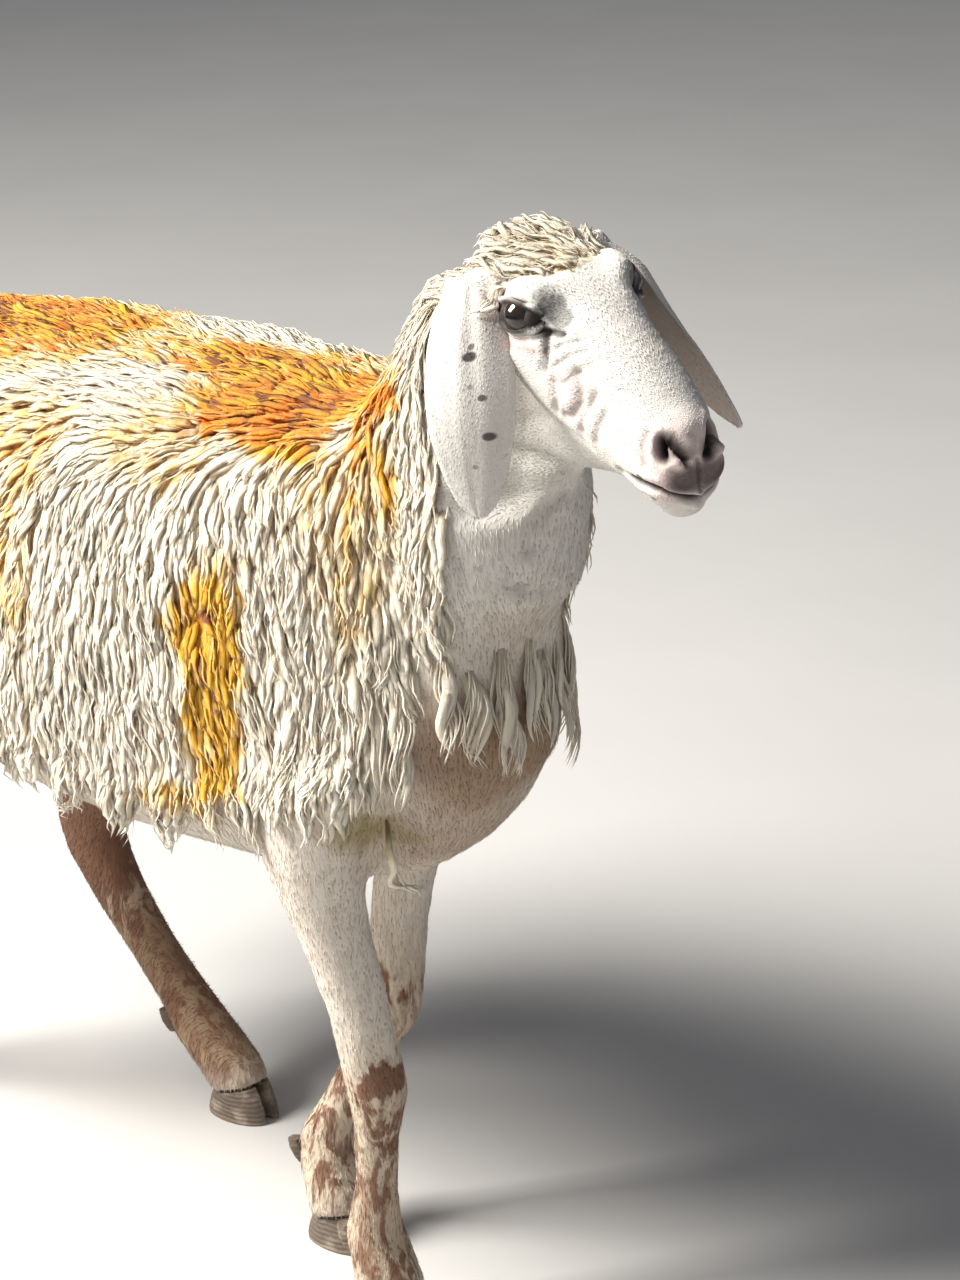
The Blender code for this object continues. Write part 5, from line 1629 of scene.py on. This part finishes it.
def eye_material(side):
    """Dark amber iris with a level slit pupil under a wet surface, by angle from its axis."""
    made, shader, draw = new_material("eye_" + side, 0.12, coat_roughness=0.03,
                                      coat_weight=0.8)
    centre, _, slit, up = eye_frame(1 if side == "left" else -1)
    place = draw.place()
    away = draw.vectors("SUBTRACT", place, tuple(centre))
    across = draw.maths("DIVIDE", draw.vectors("DOT_PRODUCT", away, tuple(slit)), EYE_RADIUS)
    high = draw.maths("DIVIDE", draw.vectors("DOT_PRODUCT", away, tuple(up)), EYE_RADIUS)
    reach = draw.maths("ADD", draw.times(across, across), draw.times(high, high))
    reach = draw.maths("SQRT", reach)
    streak = draw.noise(draw.vectors("SCALE", away, 900.0), 1.0, 3.0, 0.6)
    iris = draw.mix(streak, (0.012, 0.008, 0.006), (0.028, 0.017, 0.010))
    slot = draw.maths("MAXIMUM", draw.maths("DIVIDE", draw.maths("ABSOLUTE", across), 0.48),
                      draw.maths("DIVIDE", draw.maths("ABSOLUTE", high), 0.20))
    colour = draw.mix(draw.span(slot, 0.85, 1.1), (0.004, 0.004, 0.005), iris)
    colour = draw.mix(draw.span(reach, 0.72, 0.82), colour, (0.016, 0.011, 0.010))
    draw.feed(shader.inputs["Base Color"], colour)
    draw.feed(shader.inputs["Roughness"], draw.span(reach, 0.7, 1.0, 0.08, 0.25))
    return made


def horn_material():
    """Dry hoof horn with growth rings, scuffed pale at the toe and edge."""
    made, shader, draw = new_material("hoof_horn", 0.6)
    place = draw.place()
    drift = draw.times(draw.noise(place, 40.0, 2.0), 0.006)
    level = draw.maths("ADD", draw.parts(place)["Z"], drift)
    rings = draw.maths("SINE", draw.times(level, 1500.0))
    grain = draw.noise(place, 300.0, 4.0, 0.6)
    colour = draw.mix(grain, (0.060, 0.045, 0.034), (0.200, 0.155, 0.115))
    dust = draw.span(draw.noise(place, 70.0, 3.0), 0.45, 0.70, 0.0, 0.7)
    colour = draw.mix(dust, colour, (0.38, 0.31, 0.23))
    colour = draw.mix(draw.span(level, 0.0, 0.010, 0.55, 0.0), colour, (0.42, 0.35, 0.27))
    draw.feed(shader.inputs["Base Color"], colour)
    draw.feed(shader.inputs["Roughness"], draw.span(grain, 0.3, 0.7, 0.50, 0.80))
    draw.bump(shader, draw.maths("ADD", rings, draw.times(grain, 1.5)), 0.5, 0.0006)
    return made


def floor_material():
    made, shader, draw = new_material("studio_floor", 0.9)
    cloud = draw.noise(draw.place(), 3.0, 4.0)
    grey = draw.mix(cloud, (0.55, 0.54, 0.525), (0.62, 0.61, 0.595))
    draw.feed(shader.inputs["Base Color"], grey)
    return made


# ---- eyes and hooves -----------------------------------------------------------------------
CORNEA_START = 0.80           # the cosine at which the cornea starts
CORNEA_RISE = 0.055           # its height as a share of the eye's radius
RING_HEIGHT = 0.00022
RING_RATE = 2200.0            # growth rings of the horn, in radians to the metre


def build_eye(side):
    """An eyeball with a slight cornea, its poles along the way it looks."""
    centre, look, slit, _ = eye_frame(1 if side == "left" else -1)
    shape = bmesh.new()
    bmesh.ops.create_uvsphere(shape, u_segments=48, v_segments=32, radius=EYE_RADIUS * 0.985)
    for vert in shape.verts:
        lean = vert.co.normalized().z
        if lean > CORNEA_START:
            vert.co *= 1 + CORNEA_RISE * (lean - CORNEA_START) / 0.20
    turn = Matrix((slit, look.cross(slit), look)).transposed().to_4x4()
    bmesh.ops.transform(shape, matrix=Matrix.Translation(centre) @ turn, verts=shape.verts[:])
    made = add_object("eyeball_" + side, mesh_of(shape, "eyeball_" + side))
    made.data.shade_smooth()
    put_on(made, eye_material(side))
    return made


def build_hoof(node):
    """A claw refined from its solid: rounded walls, growth rings and the same flat sole."""
    shape = bmesh.new()
    shape.from_mesh(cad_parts[node].data)
    bmesh.ops.remove_doubles(shape, verts=shape.verts[:], dist=1e-5)
    bmesh.ops.dissolve_limit(shape, angle_limit=math.radians(1.0), verts=shape.verts[:],
                             edges=shape.edges[:])
    made = add_object("hoof_" + node, mesh_of(shape, "hoof_" + node))
    bevel = made.modifiers.new("Edge", "BEVEL")
    bevel.width = 0.0012
    bevel.segments = 2
    bevel.limit_method = "ANGLE"
    bevel.angle_limit = math.radians(50)
    round_off = made.modifiers.new("Round", "SUBSURF")
    round_off.levels = 2
    round_off.render_levels = 2
    settle(made)
    points = read_points(made.data)
    low, high = (np.array(corner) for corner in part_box(node))
    have_low, have_high = points.min(axis=0), points.max(axis=0)
    points = low + (points - have_low) * (high - low) / np.maximum(have_high - have_low, 1e-6)
    normals = read_normals(made.data)
    rings = RING_HEIGHT * np.sin(points[:, 2] * RING_RATE) * ramp(points[:, 2], 0.003, 0.008)
    rings -= RING_HEIGHT
    level = np.abs(normals[:, 2]) < 0.7
    points = points + normals * (rings * level)[:, None]
    points[:, 2] = np.maximum(points[:, 2], low[2])
    write_points(made.data, points)
    made.data.shade_smooth()
    return made


# ---- stage ---------------------------------------------------------------------------------
CAMERA_PLACE = (1.81674, -1.52793, 1.35981)
CAMERA_AZIMUTH = 45.0
CAMERA_ELEVATION = 20.0
CAMERA_ROLL = 2.5
CAMERA_LENS = 90.0
LAMP_TARGET = (0.10, 0.0, 0.55)
SKY_COLOUR = (0.86, 0.90, 1.0, 1.0)
FLOOR_RADIUS = 14.0


def add_camera():
    azimuth, elevation, roll = (math.radians(angle) for angle in
                                (CAMERA_AZIMUTH, CAMERA_ELEVATION, CAMERA_ROLL))
    ahead = Vector((-math.sin(azimuth) * math.cos(elevation),
                    math.cos(azimuth) * math.cos(elevation), -math.sin(elevation)))
    right = Vector((math.cos(azimuth), math.sin(azimuth), 0))
    up = right.cross(ahead)
    right, up = (right * math.cos(roll) - up * math.sin(roll),
                 right * math.sin(roll) + up * math.cos(roll))
    camera = add_object("camera", bpy.data.cameras.new("camera"))
    camera.matrix_world = Matrix.Translation(CAMERA_PLACE) @ Matrix(
        (right, up, -ahead)).transposed().to_4x4()
    camera.data.lens = CAMERA_LENS
    camera.data.sensor_width = 36.0
    camera.data.sensor_fit = "AUTO"
    camera.data.clip_start = 0.05
    camera.data.clip_end = 100.0
    bpy.context.scene.camera = camera


def add_lamp(name, place, size, power, colour):
    """A soft square lamp that looks at the animal."""
    lamp = bpy.data.lights.new(name, "AREA")
    lamp.shape = "SQUARE"
    lamp.size = size
    lamp.energy = power
    lamp.color = colour
    made = add_object(name, lamp)
    made.location = place
    made.rotation_euler = (Vector(LAMP_TARGET) - Vector(place)).to_track_quat("-Z", "Y").to_euler()


def add_floor():
    shape = bmesh.new()
    bmesh.ops.create_circle(shape, cap_ends=True, segments=96, radius=FLOOR_RADIUS)
    floor = add_object("floor", mesh_of(shape, "floor"))
    put_on(floor, floor_material())


def add_world(strength):
    world = bpy.data.worlds.new("studio")
    world.use_nodes = True
    backdrop = world.node_tree.nodes["Background"]
    backdrop.inputs["Color"].default_value = SKY_COLOUR
    backdrop.inputs["Strength"].default_value = strength
    bpy.context.scene.world = world


# ---- what a user may change ----------------------------------------------------------------
def distance(name, description, default, low, high):
    return FloatProperty(name=name, description=description, default=default, min=low, max=high,
                         subtype="DISTANCE", unit="LENGTH")


class EweFleece(bpy.types.PropertyGroup):
    """Sizes of the wool."""
    lock_spacing: distance(
        "Lock spacing", "Distance between neighbouring locks of wool", 0.0087, 0.006, 0.05)
    bundle_spacing: distance(
        "Bundle spacing", "Distance between the long bundles on the breast", 0.0190, 0.010, 0.05)
    strand_width: distance(
        "Strand width", "Width of one strand of wool", 0.0021, 0.001, 0.01)
    strands: IntProperty(
        name="Strands", description="Strands in one lock", default=3, min=1, max=8)
    seed: IntProperty(name="Seed", description="Start of the random draws", default=11, min=0)


class EweShortCoat(bpy.types.PropertyGroup):
    """Sizes of the short hair."""
    face_length: distance(
        "Face hair length", "Length of the hair tufts on the face", 0.0040, 0.002, 0.02)
    leg_length: distance(
        "Leg hair length", "Length of the hair tufts on legs and belly", 0.0078, 0.002, 0.04)
    face_width: distance(
        "Face tuft width", "Half width of a tuft of the face at its root", 0.00034, 0.0002, 0.002)
    leg_width: distance(
        "Leg tuft width", "Half width of a tuft of the legs at its root", 0.00042, 0.0002, 0.002)


class EweStage(bpy.types.PropertyGroup):
    """Light of the stage."""
    key_power: FloatProperty(
        name="Key light", description="Power of the main soft lamp in watts", default=530.0,
        min=0.0)
    fill_power: FloatProperty(
        name="Fill light", description="Power of the filling lamp in watts", default=2.0, min=0.0)
    sky_strength: FloatProperty(
        name="Sky", description="Strength of the even light around", default=0.19, min=0.0)


def found(name):
    thing = bpy.data.objects.get(name)
    if thing is None:
        raise RuntimeError("build " + name + " first")
    return thing


def shared_markings():
    return bpy.data.node_groups.get("coat_markings") or markings_group()


def shared_short_hair():
    return bpy.data.materials.get("short_hair") or short_hair_material(shared_markings())


# ---- operators -----------------------------------------------------------------------------
class EWE_OT_skin(bpy.types.Operator):
    """Build the skin with its lids, muzzle and ears"""
    bl_idname = "ewe.skin"
    bl_label = "Skin"

    def execute(self, context):
        skin = build_skin()
        put_on(skin, skin_material(shared_markings()))
        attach(skin, BODY)
        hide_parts(*FLESH, *EARS)
        return {"FINISHED"}


class EWE_OT_fleece(bpy.types.Operator):
    """Grow the wool"""
    bl_idname = "ewe.fleece"
    bl_label = "Fleece"

    def execute(self, context):
        wool = wool_material(shared_markings())
        for piece in build_fleece(found("skin"), context.scene.ewe_fleece):
            put_on(piece, wool)
            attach(piece, BODY)
        return {"FINISHED"}


class EWE_OT_short_coat(bpy.types.Operator):
    """Grow the short hair of the face, ears, belly and legs"""
    bl_idname = "ewe.short_coat"
    bl_label = "Short coat"

    def execute(self, context):
        skin = found("skin")
        settings = context.scene.ewe_short_coat
        tree = short_coat_tree()
        finish = shared_short_hair()
        points = read_points(skin.data)
        face = read_attribute(skin.data, "face")
        wool = read_attribute(skin.data, "wool")
        short = (face < 0.4) & (wool < 0.8)
        front = points[:, 0] > MIDDLE_OF_BELLY
        right = points[:, 1] < 0.0
        on_face = dict(FACE_TUFTS, Length=settings.face_length, Width=settings.face_width)
        on_leg = dict(LEG_TUFTS, Length=settings.leg_length, Width=settings.leg_width)
        rows = (
            ("hair_head", face > 0.35, "face_hair", on_face),
            ("hair_front_right", short & front & right, "leg_hair", on_leg),
            ("hair_front_left", short & front & ~right, "leg_hair", on_leg),
            ("hair_rear_right", short & ~front & right, "leg_hair", on_leg),
            ("hair_rear_left", short & ~front & ~right, "leg_hair", on_leg),
        )
        for seed, (name, chosen, slot, values) in enumerate(rows, 1):
            piece = grow_short_coat(skin, name, chosen, tree, finish, values, seed)
            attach(piece, BODY)
        return {"FINISHED"}


class EWE_OT_eyes(bpy.types.Operator):
    """Set the eyes"""
    bl_idname = "ewe.eyes"
    bl_label = "Eyes"

    def execute(self, context):
        for side in ("left", "right"):
            eye = build_eye(side)
            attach(eye, BODY)
            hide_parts("eye_" + side)
        return {"FINISHED"}


class EWE_OT_hooves(bpy.types.Operator):
    """Refine the hooves and dewclaws"""
    bl_idname = "ewe.hooves"
    bl_label = "Hooves"

    def execute(self, context):
        horn = horn_material()
        for node in CLAWS:
            hoof = build_hoof(node)
            put_on(hoof, horn)
            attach(hoof, BODY)
            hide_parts(node)
        return {"FINISHED"}


class EWE_OT_stage(bpy.types.Operator):
    """Set the floor, the lamps and the camera"""
    bl_idname = "ewe.stage"
    bl_label = "Stage"

    def execute(self, context):
        settings = context.scene.ewe_stage
        add_camera()
        add_floor()
        add_world(settings.sky_strength)
        add_lamp("key", (-1.90, -2.40, 3.55), 1.9, settings.key_power, (1.0, 0.97, 0.91))
        add_lamp("fill", (3.0, 0.6, 1.9), 2.4, settings.fill_power, (0.88, 0.93, 1.0))
        context.scene.view_settings.view_transform = "Standard"
        return {"FINISHED"}


class EWE_PT_panel(bpy.types.Panel):
    """The ewe's sizes and steps"""
    bl_label = "Ewe"
    bl_idname = "EWE_PT_panel"
    bl_space_type = "VIEW_3D"
    bl_region_type = "UI"
    bl_category = "Ewe"

    def draw(self, context):
        for settings in (context.scene.ewe_fleece, context.scene.ewe_short_coat,
                         context.scene.ewe_stage):
            box = self.layout.box()
            for name in settings.__annotations__:
                box.prop(settings, name)
        for step in STEPS:
            self.layout.operator(step.bl_idname)


STEPS = (EWE_OT_skin, EWE_OT_fleece, EWE_OT_short_coat, EWE_OT_eyes, EWE_OT_hooves, EWE_OT_stage)
SETTINGS = {"ewe_fleece": EweFleece, "ewe_short_coat": EweShortCoat, "ewe_stage": EweStage}


def register():
    for kind in (*SETTINGS.values(), *STEPS, EWE_PT_panel):
        bpy.utils.register_class(kind)
    for name, kind in SETTINGS.items():
        setattr(bpy.types.Scene, name, PointerProperty(type=kind))


def unregister():
    for name in SETTINGS:
        delattr(bpy.types.Scene, name)
    for kind in (EWE_PT_panel, *STEPS[::-1], *SETTINGS.values()):
        bpy.utils.unregister_class(kind)


def main():
    register()
    for step in STEPS:
        group, action = step.bl_idname.split(".")
        getattr(getattr(bpy.ops, group), action)()


if __name__ == "__main__":
    main()
